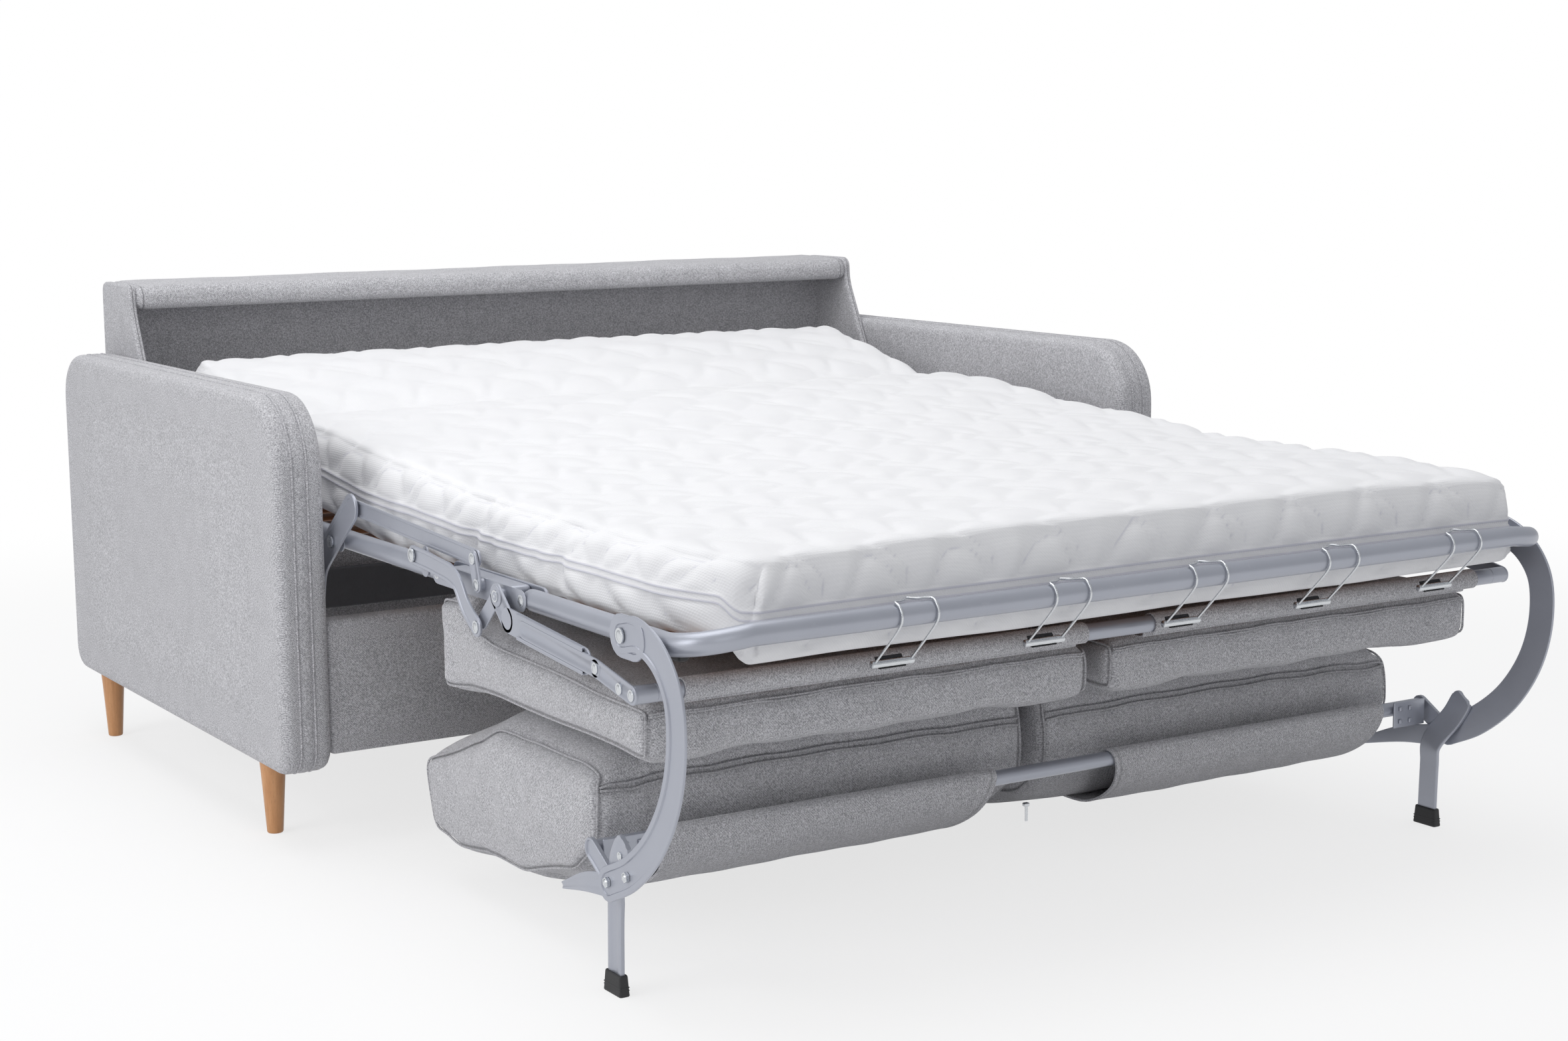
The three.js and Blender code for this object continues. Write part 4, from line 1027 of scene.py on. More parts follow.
def add_pair(name: str, shape: Shape, keeping: Keeping) -> list[bpy.types.Object]:
    """Makes a piece on the right and its mirror image on the left.

    Args:
        name: the name that both share.
        shape: the right one's skin.
        keeping: how the right one is kept.

    Returns:
        The right and the left piece.
    """
    right = add_piece(f"{name}_right", shape, keeping)
    left = add_piece(f"{name}_left", shape.mirrored(), keeping.other_side())
    return [right, left]


def applied(obj: bpy.types.Object) -> bpy.types.Object:
    """Replaces an object's mesh by what its modifiers make of it.

    Args:
        obj: the object.

    Returns:
        The same object, without modifiers.
    """
    graph = bpy.context.evaluated_depsgraph_get()
    made = bpy.data.meshes.new_from_object(obj.evaluated_get(graph))
    obj.modifiers.clear()
    obj.data = made
    return obj


# Repeated parts


class RepeatTree:
    """A geometry node tree that repeats one part over the points of a mesh."""

    def __init__(self, name: str, sizes: dict[str, float]) -> None:
        """Opens the tree with its named sizes.

        Args:
            name: the tree's name.
            sizes: each size's name and value, in metres.
        """
        self.tree = bpy.data.node_groups.new(name, "GeometryNodeTree")
        face = self.tree.interface
        face.new_socket("Places", in_out="INPUT", socket_type="NodeSocketGeometry")
        for size, value in sizes.items():
            face.new_socket(size, in_out="INPUT", socket_type="NodeSocketFloat").default_value = value
        face.new_socket("Finish", in_out="INPUT", socket_type="NodeSocketMaterial")
        face.new_socket("Parts", in_out="OUTPUT", socket_type="NodeSocketGeometry")
        self.entry = self.tree.nodes.new("NodeGroupInput")
        self.exit = self.tree.nodes.new("NodeGroupOutput")

    def size(self, name: str) -> bpy.types.NodeSocket:
        """The socket of a named input."""
        return self.entry.outputs[name]

    def node(self, kind: str, settings: dict, inputs: dict, output: int | str = 0) -> bpy.types.NodeSocket:
        """Adds a node to this tree and gives one of its outputs."""
        return add_node(self.tree, kind, settings, inputs, output)

    def times(self, name: str, factor: float) -> bpy.types.NodeSocket:
        """A named size times a number."""
        return self.node("ShaderNodeMath", {"operation": "MULTIPLY"}, {0: self.size(name), 1: factor})

    def xyz(self, x: object, y: object, z: object) -> bpy.types.NodeSocket:
        """A vector from three sizes."""
        return self.node("ShaderNodeCombineXYZ", {}, {"X": x, "Y": y, "Z": z})

    def close(self, part: bpy.types.NodeSocket, smooth: bool) -> None:
        """Sets the part on every place, realizes it and gives it its finish.

        Args:
            part: the geometry that is repeated.
            smooth: whether its faces are shaded smooth.
        """
        laid = self.node("GeometryNodeInstanceOnPoints", {}, {"Points": self.size("Places"), "Instance": part})
        real = self.node("GeometryNodeRealizeInstances", {}, {"Geometry": laid})
        shaded = self.node("GeometryNodeSetShadeSmooth", {}, {"Geometry": real, "Shade Smooth": smooth})
        done = self.node("GeometryNodeSetMaterial", {}, {"Geometry": shaded, "Material": self.size("Finish")})
        self.tree.links.new(done, self.exit.inputs["Parts"])

    def repeat(self, name: str, places: Sequence[Point], sizes: dict[str, float], finish: Finish) -> bpy.types.Object:
        """Runs the tree over the places and makes the result a plain mesh.

        Args:
            name: the piece's name.
            places: where each part goes, in millimetres.
            sizes: values of the named inputs.
            finish: the finish.

        Returns:
            The finished object.
        """
        mesh = bpy.data.meshes.new(name)
        mesh.from_pydata(to_row(np.array(places)).tolist(), [], [])
        obj = new_object(name, mesh)
        modifier = obj.modifiers.new("repeat", "NODES")
        modifier.node_group = self.tree
        values = {**sizes, "Finish": finish.material()}
        for item in self.tree.interface.items_tree:
            if item.item_type == "SOCKET" and item.in_out == "INPUT" and item.name in values:
                modifier[item.identifier] = values[item.name]
        return applied(obj)


def rivet_tree(sides: int, smooth: bool) -> RepeatTree:
    """A low domed head on a flat collar, for rivets, or a six-sided head for bolts.

    Args:
        sides: how many sides the collar has.
        smooth: whether it is shaded smooth.

    Returns:
        The tree, with its radius and height as inputs.
    """
    tree = RepeatTree(f"heads_{sides}", {"Radius": 0.009, "Height": 0.0024})
    turn = (0.0, math.pi / 2, 0.0)
    settings = {"fill_type": "NGON"}
    sizes = {"Vertices": sides, "Radius": tree.size("Radius"), "Depth": tree.size("Height")}
    collar = tree.node("GeometryNodeMeshCylinder", settings, sizes, "Mesh")
    collar = tree.node("GeometryNodeTransform", {}, {"Geometry": collar, "Rotation": turn})
    ball = tree.node("GeometryNodeMeshUVSphere", {}, {"Segments": 20, "Rings": 10, "Radius": 1.0}, "Mesh")
    wide = tree.times("Radius", 0.84)
    shape = tree.xyz(tree.size("Height"), wide, wide)
    dome = tree.node("GeometryNodeTransform", {}, {"Geometry": ball, "Scale": shape})
    both = tree.tree.nodes.new("GeometryNodeJoinGeometry")
    for part in (collar, dome):
        tree.tree.links.new(part, both.inputs[0])
    tree.close(both.outputs[0], smooth)
    return tree


def slat_tree() -> RepeatTree:
    """A sprung slat: a rounded section swept along a low arch.

    Returns:
        The tree, with the slat's sizes as inputs.
    """
    sizes = {"Half Length": 0.708, "Width": 0.038, "Thickness": 0.008, "Camber": 0.004}
    tree = RepeatTree("sprung_slats", sizes)
    left, right = (tree.xyz(tree.times("Half Length", side), 0.0, 0.0) for side in (-1.0, 1.0))
    peak = tree.xyz(0.0, 0.0, tree.times("Camber", 2.0))
    ends = {"Resolution": 18, "Start": left, "Middle": peak, "End": right}
    arch = tree.node("GeometryNodeCurveQuadraticBezier", {}, ends)
    arch = tree.node("GeometryNodeSetCurveNormal", {"mode": "Z_UP"}, {"Curve": arch})
    section = {"Width": tree.size("Width"), "Height": tree.size("Thickness")}
    section = tree.node("GeometryNodeCurvePrimitiveQuadrilateral", {"mode": "RECTANGLE"}, section)
    fillet = {"Curve": section, "Count": 4, "Radius": tree.times("Thickness", 0.4)}
    filleted = tree.node("GeometryNodeFilletCurve", {"mode": "POLY"}, fillet)
    swept = {"Curve": arch, "Profile Curve": filleted, "Fill Caps": True}
    tree.close(tree.node("GeometryNodeCurveToMesh", {}, swept), True)
    return tree


RIVETS = rivet_tree(24, True)
BOLTS = rivet_tree(6, False)


def fasteners(name: str, body: str, heads: Sequence[Point], radius: float, height: float, tree: RepeatTree) -> None:
    """Sets fastener heads on both sides of the bed.

    Args:
        name: the piece's name.
        body: the body that it rides on.
        heads: the middle of each head's base on the right side.
        radius: the heads' radius.
        height: how far they stand out.
        tree: the tree that makes the heads.
    """
    places = [*heads, *((-x, y, z) for x, y, z in heads)]
    sizes = {"Radius": radius * MILLIMETRE, "Height": height * MILLIMETRE}
    obj = tree.repeat(name, places, sizes, ZINC)
    if tree is RIVETS:
        obj.data.set_sharp_from_angle(angle=math.radians(CRISP))
    keep(obj, Keeping(body, ZINC, "zinc"))


# Sofa body


@dataclass
class SofaBody:
    """The sofa that stays still: arms, back, rail, batten, legs and side plates."""

    inner: float = 780.0
    arm_thick: float = 80.0
    arm_low: Place = (-165.0, 122.0)
    arm_high: Place = (890.0, 712.0)
    arm_radii: tuple[float, ...] = (46.0, 46.0, 84.0, 112.0)
    strip_half: float = 12.0
    clear: float = 0.3
    wing_corners: tuple[Place, ...] = ((560.0, 450.0), (886.0, 450.0), (886.0, 838.0), (731.0, 838.0), (729.0, 790.0))
    top_low: Place = (727.0, 792.0)
    top_high: Place = (885.0, 838.0)
    plate_middle: Place = (LEVER_PIVOT[0] + 34, LEVER_PIVOT[1])
    body: str = "sofa_body"

    @property
    def limit(self) -> float:
        """How far out the pieces between the arms reach."""
        return self.inner - self.clear

    def arm_outline(self, count: int = 260) -> np.ndarray:
        """The arm's side view in even steps."""
        return even_loop(cornered_outline(self.arm_low, self.arm_high, self.arm_radii), count)

    def arms(self) -> None:
        """Builds each arm of two panels that meet at a narrow strip between two piped seams."""
        x0, x1 = self.inner, self.inner + self.arm_thick
        middle = (x0 + x1) / 2
        a, b = middle - self.strip_half, middle + self.strip_half
        inside = [(x0, 24, 0), (x0 + 0.2, 17, 0), (x0 + 1.4, 11, 0), (x0 + 4, 6.6, 0), (x0 + 8, 3.9, 0)]
        inside += [(x0 + 13, 2.4, 0), (x0 + 18, 2.0, 0), (a - 2.4, 2.4, 0.1), (a, 4.6, 0.6), (a + 2.4, 2.5, 0.1)]
        strip_rings = [(a + 6, 1.6, 0), (middle - 4, 1.2, 0), (middle + 4, 1.2, 0), (b - 6, 1.6, 0)]
        outside = [(b - 2.4, 2.5, 0.1), (b, 4.6, 0.6), (b + 2.4, 2.4, 0.1), (x1 - 19, 2.0, 0), (x1 - 13, 2.4, 0)]
        outside += [(x1 - 8, 4.2, 0), (x1 - 4, 7.6, 0), (x1 - 1.2, 12.5, 0), (x1, 19, 0), (x1, 25, 0)]
        shape = slab(self.arm_outline(), inside + strip_rings + outside, (0.0, 3.0))
        add_pair("arm", shape, twill(self.body, "arm_right"))
        loop = even_loop(drawn_in(self.arm_outline(520), 2.6), 520)
        first, second = (tube(across(x, loop), 1.9, 8, Cap.LOOP) for x in (a, b))
        add_pair("arm_piping", first.with_shape(second).sewn(0.25), twill(self.body))

    def back(self) -> None:
        """Builds the rear panel, its slanted wings and the padded top."""
        limit = self.limit
        panel = rounded_box((4 - limit, 838.0, 122.0), (limit - 4, 885.0, 791.7), 10.0, 60.0)
        outline = even_loop(rounded_corners(self.wing_corners, 23.0), 200)
        inner = limit - 14.0
        rings = [(inner, 6, 0), (inner + 0.8, 3, 0), (inner + 3, 1, 0), (inner + 5.4, 0.8, 0.3), (inner + 6.4, 2.4, 1)]
        rings += [(inner + 7.4, 0.8, 0.3), (limit - 3, 1, 0), (limit - 0.8, 3, 0), (limit, 6, 0)]
        wings = slab(outline, rings).both_sides()
        add_piece("back_panel_cover", panel.with_shape(wings), twill(self.body, "back_panel"))
        self.top_pad(limit - 12.6)

    def top_pad(self, limit: float) -> None:
        """Builds the padded top with its end seams.

        Args:
            limit: half its length.
        """
        low, high = self.top_low, self.top_high
        outline = even_loop(cornered_outline(low, high, (15.0, 9.0, 17.0, 24.0), 10), 96)
        rise = (outline[:, 1] - low[1]) / (high[1] - low[1])
        outline[:, 1] -= rise * 4.6 * (high[0] - outline[:, 0]) / (high[0] - low[0])
        centre = outline.mean(axis=0)
        ends = [(0.0, 16.0, 0), (0.7, 10.5, 0), (2.4, 6.4, 0), (5.5, 3.2, 0), (9.5, 1.2, 0), (12.5, 0.8, 0.3)]
        ends += [(14.0, 2.6, 1), (15.5, 0.8, 0.3), (20.0, 0.0, 0)]
        run = np.linspace(-limit + 40, limit - 40, 90)
        stations = [(-limit + d, inset, s) for d, inset, s in ends] + [(x, 0.0, 0) for x in run]
        stations += [(limit - d, inset, s) for d, inset, s in ends[::-1]]
        rings = []
        for x, inset, _ in stations:
            ring = drawn_in(outline, inset)
            wave = 1.1 * math.sin(x * 0.017 + 0.6) + 0.6 * math.sin(x * 0.051)
            puff = (ring - centre) / np.maximum(np.linalg.norm(ring - centre, axis=1, keepdims=True), 1e-9)
            top = np.clip((ring[:, 1:] - centre[1]) / 20, 0, 1)
            rings.append(across(x, ring + puff * (wave + 1.2) * top))
        shape = skin(rings, seams=[s for _, _, s in stations])
        add_piece("back_top_cushion", shape, twill(self.body, "back_top_pad"))

    def rail(self) -> None:
        """Builds the front rail, whose face is a little crowned, and the batten inside the back."""
        limit = self.limit
        low_z, high_z = 150.0, 362.0
        shape = rounded_box((-limit, -150.0, low_z), (limit, -106.0, high_z), 11.0, 26.0)
        front = shape.points[:, 1] < -140
        fall = 1 - (np.abs(shape.points[:, 2] - (low_z + high_z) / 2) / ((high_z - low_z) / 2)) ** 4
        shape.points[front, 1] -= 2.0 * np.clip(fall[front], 0, 1)
        add_piece("front_rail_cover", shape, twill(self.body, "front_rail"))
        batten = rounded_box((-limit, 815.7, 192.0), (limit, 837.7, 268.0), 3.0, 60.0)
        add_piece("inner_batten_cover", batten, Keeping(self.body, LINING, "lining", ("inner_batten",)))

    def legs(self) -> None:
        """Turns the four tapered legs."""
        sides, leg_x = 44, 818.0
        profile = [(0.2, 0.0), (10.2, 0.0), (11.8, 0.5), (12.7, 1.6), (13.1, 3.4), (14.6, 26.0), (16.9, 62.0)]
        profile += [(19.4, 98.0), (21.2, 119.8), (20.7, 121.5), (0.2, 121.5)]
        for name, y in (("front_leg", 0.0), ("rear_leg", 805.0)):
            rings = [np.column_stack([(leg_x, y) + r * circle(sides), np.full(sides, z)]) for r, z in profile]
            add_pair(f"{name}_turned", skin(rings), Keeping(self.body, LEG_BEECH, "beech_legs", (f"{name}_right",)))

    def side_plates(self) -> None:
        """Builds the steel plates that carry the swing levers."""
        limit, (y, z) = self.limit, self.plate_middle
        outline = even_loop(cornered_outline((y - 75, z - 48), (y + 75, z + 48), (11.0,) * 4, 8), 120)
        x = limit - 3.7
        rings = [(x, 7, 0), (x + 0.8, 6, 0), (x, 0.9, 0), (x + 0.9, 0, 0), (limit - 0.6, 0, 0), (limit, 1, 0)]
        collars = [washer_stack(765.4, x + 1.5, 14.0, LEVER_PIVOT), washer_stack(758.6, 766.0, 8.0, LEVER_PIVOT)]
        cap = [(758.4, 6.0), (757.6, 8.5), (758.3, 11.2), (759.0, 12.0), (759.6, 11.6)]
        shape = slab(outline, rings).with_shape(*collars, turned_part(cap, LEVER_PIVOT))
        add_pair("lever_plate", shape, steel(self.body, "side_plate_right"))
        bolts = [(x - 1.2, y + a * 53, z + b * 26) for a in (-1, 1) for b in (-1, 1)]
        fasteners("lever_plate_bolts", self.body, bolts, 7.6, 3.4, BOLTS)

    def build(self) -> None:
        """Builds and dresses the whole sofa body."""
        self.arms()
        self.back()
        self.rail()
        self.legs()
        self.side_plates()


# Folding frame


@dataclass
class Mechanism:
    """The levers and links between the sofa sides and the bed frame."""

    lever_tip: Place = (-221.0, 545.0)
    s_foot: Place = (-666.0, 435.0)
    lever_way: tuple[Place, ...] = ((0.2, 0.16), (0.56, 0.48), (0.7, 0.8))
    s_way: tuple[Place, ...] = ((0.34, 0.06), (0.68, 0.22), (0.84, 0.7))

    def levers(self) -> None:
        """Builds the swing levers with their rivets."""
        route = [LEVER_PIVOT, *between(LEVER_PIVOT, LEVER_RIVET, self.lever_way), LEVER_RIVET, self.lever_tip]
        blade = strip(route, 44.0, 760.0, 765.0, Pressed(7.0, 1.3))
        pin = washer_stack(752.0, 760.4, 8.0, self.lever_tip)
        add_pair("swing_lever_blade", blade.with_shape(pin), steel("swing_levers", "swing_lever_right"))
        fasteners("swing_lever_rivets", "swing_levers", [(751.6, *self.lever_tip)], 10.0, 2.0, RIVETS)

    def upper_links(self) -> None:
        """Builds the straight links with folded edges."""
        bar = strip([self.lever_tip, CRANK_TIP], 25.0, 753.0, 757.0, Pressed(3.2, 1.4, True))
        add_pair("upper_link_bar", bar, steel("upper_links", "upper_link_right"))
        fasteners("upper_link_rivets", "upper_links", [(752.8, *CRANK_TIP)], 8.6, 1.7, RIVETS)

    def s_links(self) -> None:
        """Builds the S-shaped links with a pressed rim."""
        route = [S_LINK_TOP, *between(S_LINK_TOP, self.s_foot, self.s_way), self.s_foot]
        blade = strip(route, 28.0, 768.0, 772.0, Pressed(4.6, 1.2))
        add_pair("s_link_blade", blade, steel("s_links", "s_link_right"))
        fasteners("s_link_rivets", "s_links", [(772.0, *self.s_foot)], 8.8, 2.0, RIVETS)

    def build(self) -> None:
        """Builds and dresses all the links."""
        self.levers()
        self.upper_links()
        self.s_links()


@dataclass
class BedFrame:
    """The tube sections that the slats lie in."""

    tube_r: float = 15.0
    head_r: float = 14.0
    head_x: float = 654.0
    crank_foot: Place = (-650.0, 490.0)
    seat_pivot: Place = (FOOT_HINGE[0] + 52, TUBE_AXIS)

    def hinge_nose(self, y: float, sign: int, end: float) -> Shape:
        """A side tube from its rounded hinge end to its other end.

        Args:
            y: the hinge's place.
            sign: which way along Y the tube runs from there.
            end: where it ends.

        Returns:
            The tube with a flattened, rounded nose.
        """
        cos, sin = circle(24).T
        rings = []
        for s, r in ((-13.6, 5.0), (-12.0, 8.0), (-8.0, 11.6), (-3.0, 14.0), (4.0, 15.0), (14.0, 15.0)):
            flat = 0.72 + 0.28 * min(max((s + 2) / 16, 0), 1)
            at = np.full(len(cos), y + sign * s)
            rings.append(np.column_stack([TUBE_X + self.tube_r * flat * cos, at, TUBE_AXIS + r * sin]))
        rings.append(rings[-1] + (0, end - rings[-1][0][1], 0))
        return skin(rings)

    def base(self) -> None:
        """Builds the base section's side tubes, brackets and rear cross tube."""
        bracket = strip([(-460.0, TUBE_AXIS), S_LINK_TOP], 22.0, 749.6, 752.6)
        pins = [washer_stack(748.0, 768.2, 7.0, LEVER_RIVET), washer_stack(751.0, 774.6, 7.0, S_LINK_TOP)]
        plug = turned_part([(748.5, 17.0), (750.4, 17.0), (750.8, 16.0), (750.8, 3.0)], LEVER_RIVET)
        shape = self.hinge_nose(BASE_HINGE[0], 1, HEAD_HINGE[0]).with_shape(bracket, plug, *pins)
        add_pair("base_side_tube", shape, steel("base_section", "base_tube_right"))
        heads = [(766.6, *LEVER_RIVET), (773.6, *S_LINK_TOP)]
        fasteners("base_rivets", "base_section", heads, 10.0, 2.2, RIVETS)
        cross = tube([(x, *HEAD_HINGE) for x in np.linspace(-719.6, 719.6, 9)], self.head_r, 28)
        add_piece("rear_cross_tube", cross, steel("base_section", "base_cross_tube"))

    def head(self) -> None:
        """Builds the head section's bent loop and the eyes that it turns on."""
        hinge_y, z = HEAD_HINGE
        end, corner = hinge_y + 250.0, 60.0
        x = self.head_x
        turns = np.linspace(0, math.pi / 2, 12)
        bend = [(x - corner * (1 - math.cos(t)), end - corner * (1 - math.sin(t)), z) for t in turns]
        half = [(x, y, z) for y in (hinge_y + 15.5, hinge_y + 60, end - corner - 40)] + bend
        points = half + [(0.0, end, z)] + [(-px, py, pz) for px, py, pz in half[::-1]]
        profile = [(640.0, 14.4), (640.6, 18.6), (641.2, 19.0), (666.8, 19.0), (667.4, 18.6), (668.0, 14.4)]
        eyes = turned_part(profile, HEAD_HINGE, cap=Cap.LOOP).both_sides()
        loop = tube(points, self.head_r, 24).with_shape(eyes).turned(HEAD_HINGE, HEAD_TILT)
        add_piece("head_bent_tube", loop, steel("head_section", "head_loop"))

    def middle(self) -> None:
        """Builds the short forked channels between the two hinges."""
        body = rounded_box((718.0, -734.0, 469.6), (751.2, -531.0, 498.4), 7.0, 30.0)
        inner = strip([BASE_HINGE, FOOT_HINGE], 30.0, 715.2, 719.6, Pressed(3.0, 0.8))
        outer = strip([BASE_HINGE, FOOT_HINGE], 30.0, 750.4, 751.7)
        tab = strip([CRANK_TIP, self.crank_foot], 24.0, 758.0, 762.0, Pressed(3.6, 0.9))
        parts = [washer_stack(717.0, 751.2, 5.0, hinge) for hinge in (BASE_HINGE, FOOT_HINGE)]
        parts += [washer_stack(TUBE_X, x, r, self.seat_pivot) for x, r in ((759.6, 10.0), (766.0, 6.0))]
        parts.append(washer_stack(TUBE_X, 758.6, 9.0, self.crank_foot))
        add_pair("mid_channel", body.with_shape(inner, outer, tab, *parts), steel("mid_section", "mid_tube_right"))
        heads = [(762.0, *CRANK_TIP), (762.0, *self.crank_foot), (764.4, *self.seat_pivot)]
        heads += [(751.4, *BASE_HINGE), (751.4, *FOOT_HINGE)]
        fasteners("mid_rivets", "mid_section", heads, 8.4, 1.7, RIVETS)

    def foot(self) -> None:
        """Builds the foot section's loop, whose side tubes bend up and in to the foot bar."""
        (bar_y, bar_z), hinge_y = FOOT_BAR, FOOT_HINGE[0]
        start, end_x = bar_y + FOOT_CORNER, TUBE_X - FOOT_CORNER
        p0 = np.array((TUBE_X, start, TUBE_AXIS))
        p1 = np.array((TUBE_X, bar_y, (TUBE_AXIS + bar_z) / 2))
        p2 = np.array((end_x, *FOOT_BAR))
        bend = [p0 * (1 - t) ** 2 + 2 * p1 * t * (1 - t) + p2 * t**2 for t in np.linspace(0, 1, 22)]
        side = [np.array((TUBE_X, y, TUBE_AXIS)) for y in (hinge_y - 13.0, -900.0, start + 30)]
        right = side + bend + [np.array((x, *FOOT_BAR)) for x in np.linspace(end_x - 40, 0, 6)]
        points = right + [p * (-1, 1, 1) for p in right[-2::-1]]
        nose = self.hinge_nose(hinge_y, -1, hinge_y - 14.5).both_sides()
        spacer, pin = (washer_stack(TUBE_X, x, r, BACK_PIVOT) for x, r in ((752.6, 10.0), (758.4, 6.0)))
        shape = tube(points, self.tube_r, 28).with_shape(nose, spacer.with_shape(pin).both_sides())
        add_piece("foot_bent_tube", shape, steel("foot_section", "foot_loop"))
        fasteners("foot_rivets", "foot_section", [(757.6, *BACK_PIVOT)], 10.0, 2.0, RIVETS)

    def build(self) -> None:
        """Builds and dresses every section."""
        self.base()
        self.head()
        self.middle()
        self.foot()


@dataclass
class SlatDeck:
    """The sprung slats of each section and the black holders that they sit in."""

    width: float = 38.0
    thickness: float = 8.0
    camber: float = 4.0
    holder_length: float = 15.0
    holder_width: float = 46.0

    def centres(self, low: float, high: float, pairs: int) -> np.ndarray:
        """The slats' middles between two places, two to a pair."""
        pitch = (high - low - self.holder_width) / (2 * pairs - 1)
        return low + self.holder_width / 2 + pitch * np.arange(2 * pairs)

    def holder_tree(self, name: str, template: bpy.types.Object) -> RepeatTree:
        """A tree that repeats a holder.

        Args:
            name: the tree's name.
            template: the holder.

        Returns:
            The tree.
        """
        tree = RepeatTree(name, {})
        tree.close(tree.node("GeometryNodeObjectInfo", {}, {"Object": template}, "Geometry"), True)
        return tree

    def holder(self) -> Shape:
        """One moulded holder at the right end of a slat that is centred on y 0.

        Returns:
            The cup with its raised saddle, with its outer face at x 0.
        """
        length, half = self.holder_length, self.holder_width / 2
        top, low = TUBE_AXIS + 0.4, TUBE_AXIS - 25.0
        cup = rounded_box((-length, -half, low), (0.0, half, top - 6), 3.2, 8.0)
        saddle = rounded_box((-length * 0.72, -13.0, top - 12), (0.0, 13.0, top), 3.6, 6.0)
        ribs = [rounded_box((-length - 1.2, y - 2, low + 3), (-2.0, y + 2, top - 4.4), 1.2, 6.0) for y in (-19.0, 19.0)]
        return cup.with_shape(saddle, *ribs)

    def section(self, name: str, low: float, high: float, pairs: int, half: float, outer: float) -> None:
        """Builds one section's slats and holders.

        Args:
            name: the section's name, as its body and its slats carry it.
            low: where its slats begin.
            high: where they end.
            pairs: how many pairs of slats it has.
            half: half a slat's length.
            outer: the x of the holders' outer faces.
        """
        ys = self.centres(low, high, pairs)
        z = TUBE_AXIS - 8 - self.camber - self.thickness / 2
        sizes = {"Half Length": half, "Width": self.width, "Thickness": self.thickness, "Camber": self.camber}
        sizes = {size: value * MILLIMETRE for size, value in sizes.items()}
        slats = slat_tree().repeat(f"{name}_slats", [(0.0, y, z) for y in ys], sizes, SLAT_BEECH)
        template = mesh_piece("holder_template", self.holder())
        template.data.transform(Matrix.Translation((0.0, -ROW_SHIFT * MILLIMETRE, 0.0)))
        tree = self.holder_tree(f"{name}_holders", template)
        right = tree.repeat(f"{name}_holders_right", [(outer, y, 0.0) for y in ys], {}, PLASTIC)
        self.settle(name, slats, right, pairs)
        bpy.data.objects.remove(template)

    def settle(self, name: str, slats: bpy.types.Object, right: bpy.types.Object, pairs: int) -> None:
        """Turns the head's slats and holders up, mirrors the holders and keeps them all.

        Args:
            name: the section's name.
            slats: the slats.
            right: the right holders.
            pairs: how many nodes the slats stand for.
        """
        if name == "head":
            centre = Vector(to_row(np.array((0.0, *HEAD_HINGE))))
            turn = Matrix.Translation(centre) @ Matrix.Rotation(HEAD_TILT, 4, "X") @ Matrix.Translation(-centre)
            slats.data.transform(turn)
            right.data.transform(turn)
        left = new_object(f"{name}_holders_left", right.data.copy())
        left.data.transform(Matrix.Diagonal((-1.0, 1.0, 1.0, 1.0)))
        left.data.flip_normals()
        for obj in (slats, right, left):
            obj.data.set_sharp_from_angle(angle=math.radians(40))
        nodes = tuple(f"{name}_slat_pair_{i + 1}" for i in range(pairs))
        keep(slats, Keeping(f"{name}_section", SLAT_BEECH, "beech_slats", nodes))
        for obj in (right, left):
            keep(obj, Keeping(f"{name}_section", PLASTIC, "black_plastic"))

    def build(self) -> None:
        """Builds and dresses every section's slats."""
        self.section("base", -470.0, 297.0, 5, 708.0, 719.7)
        self.section("mid", -720.0, -545.0, 1, 708.0, 714.9)
        self.section("foot", -1131.0, -795.0, 3, 708.0, 719.7)
        self.section("head", 363.5, 525.0, 1, 631.0, 639.7)


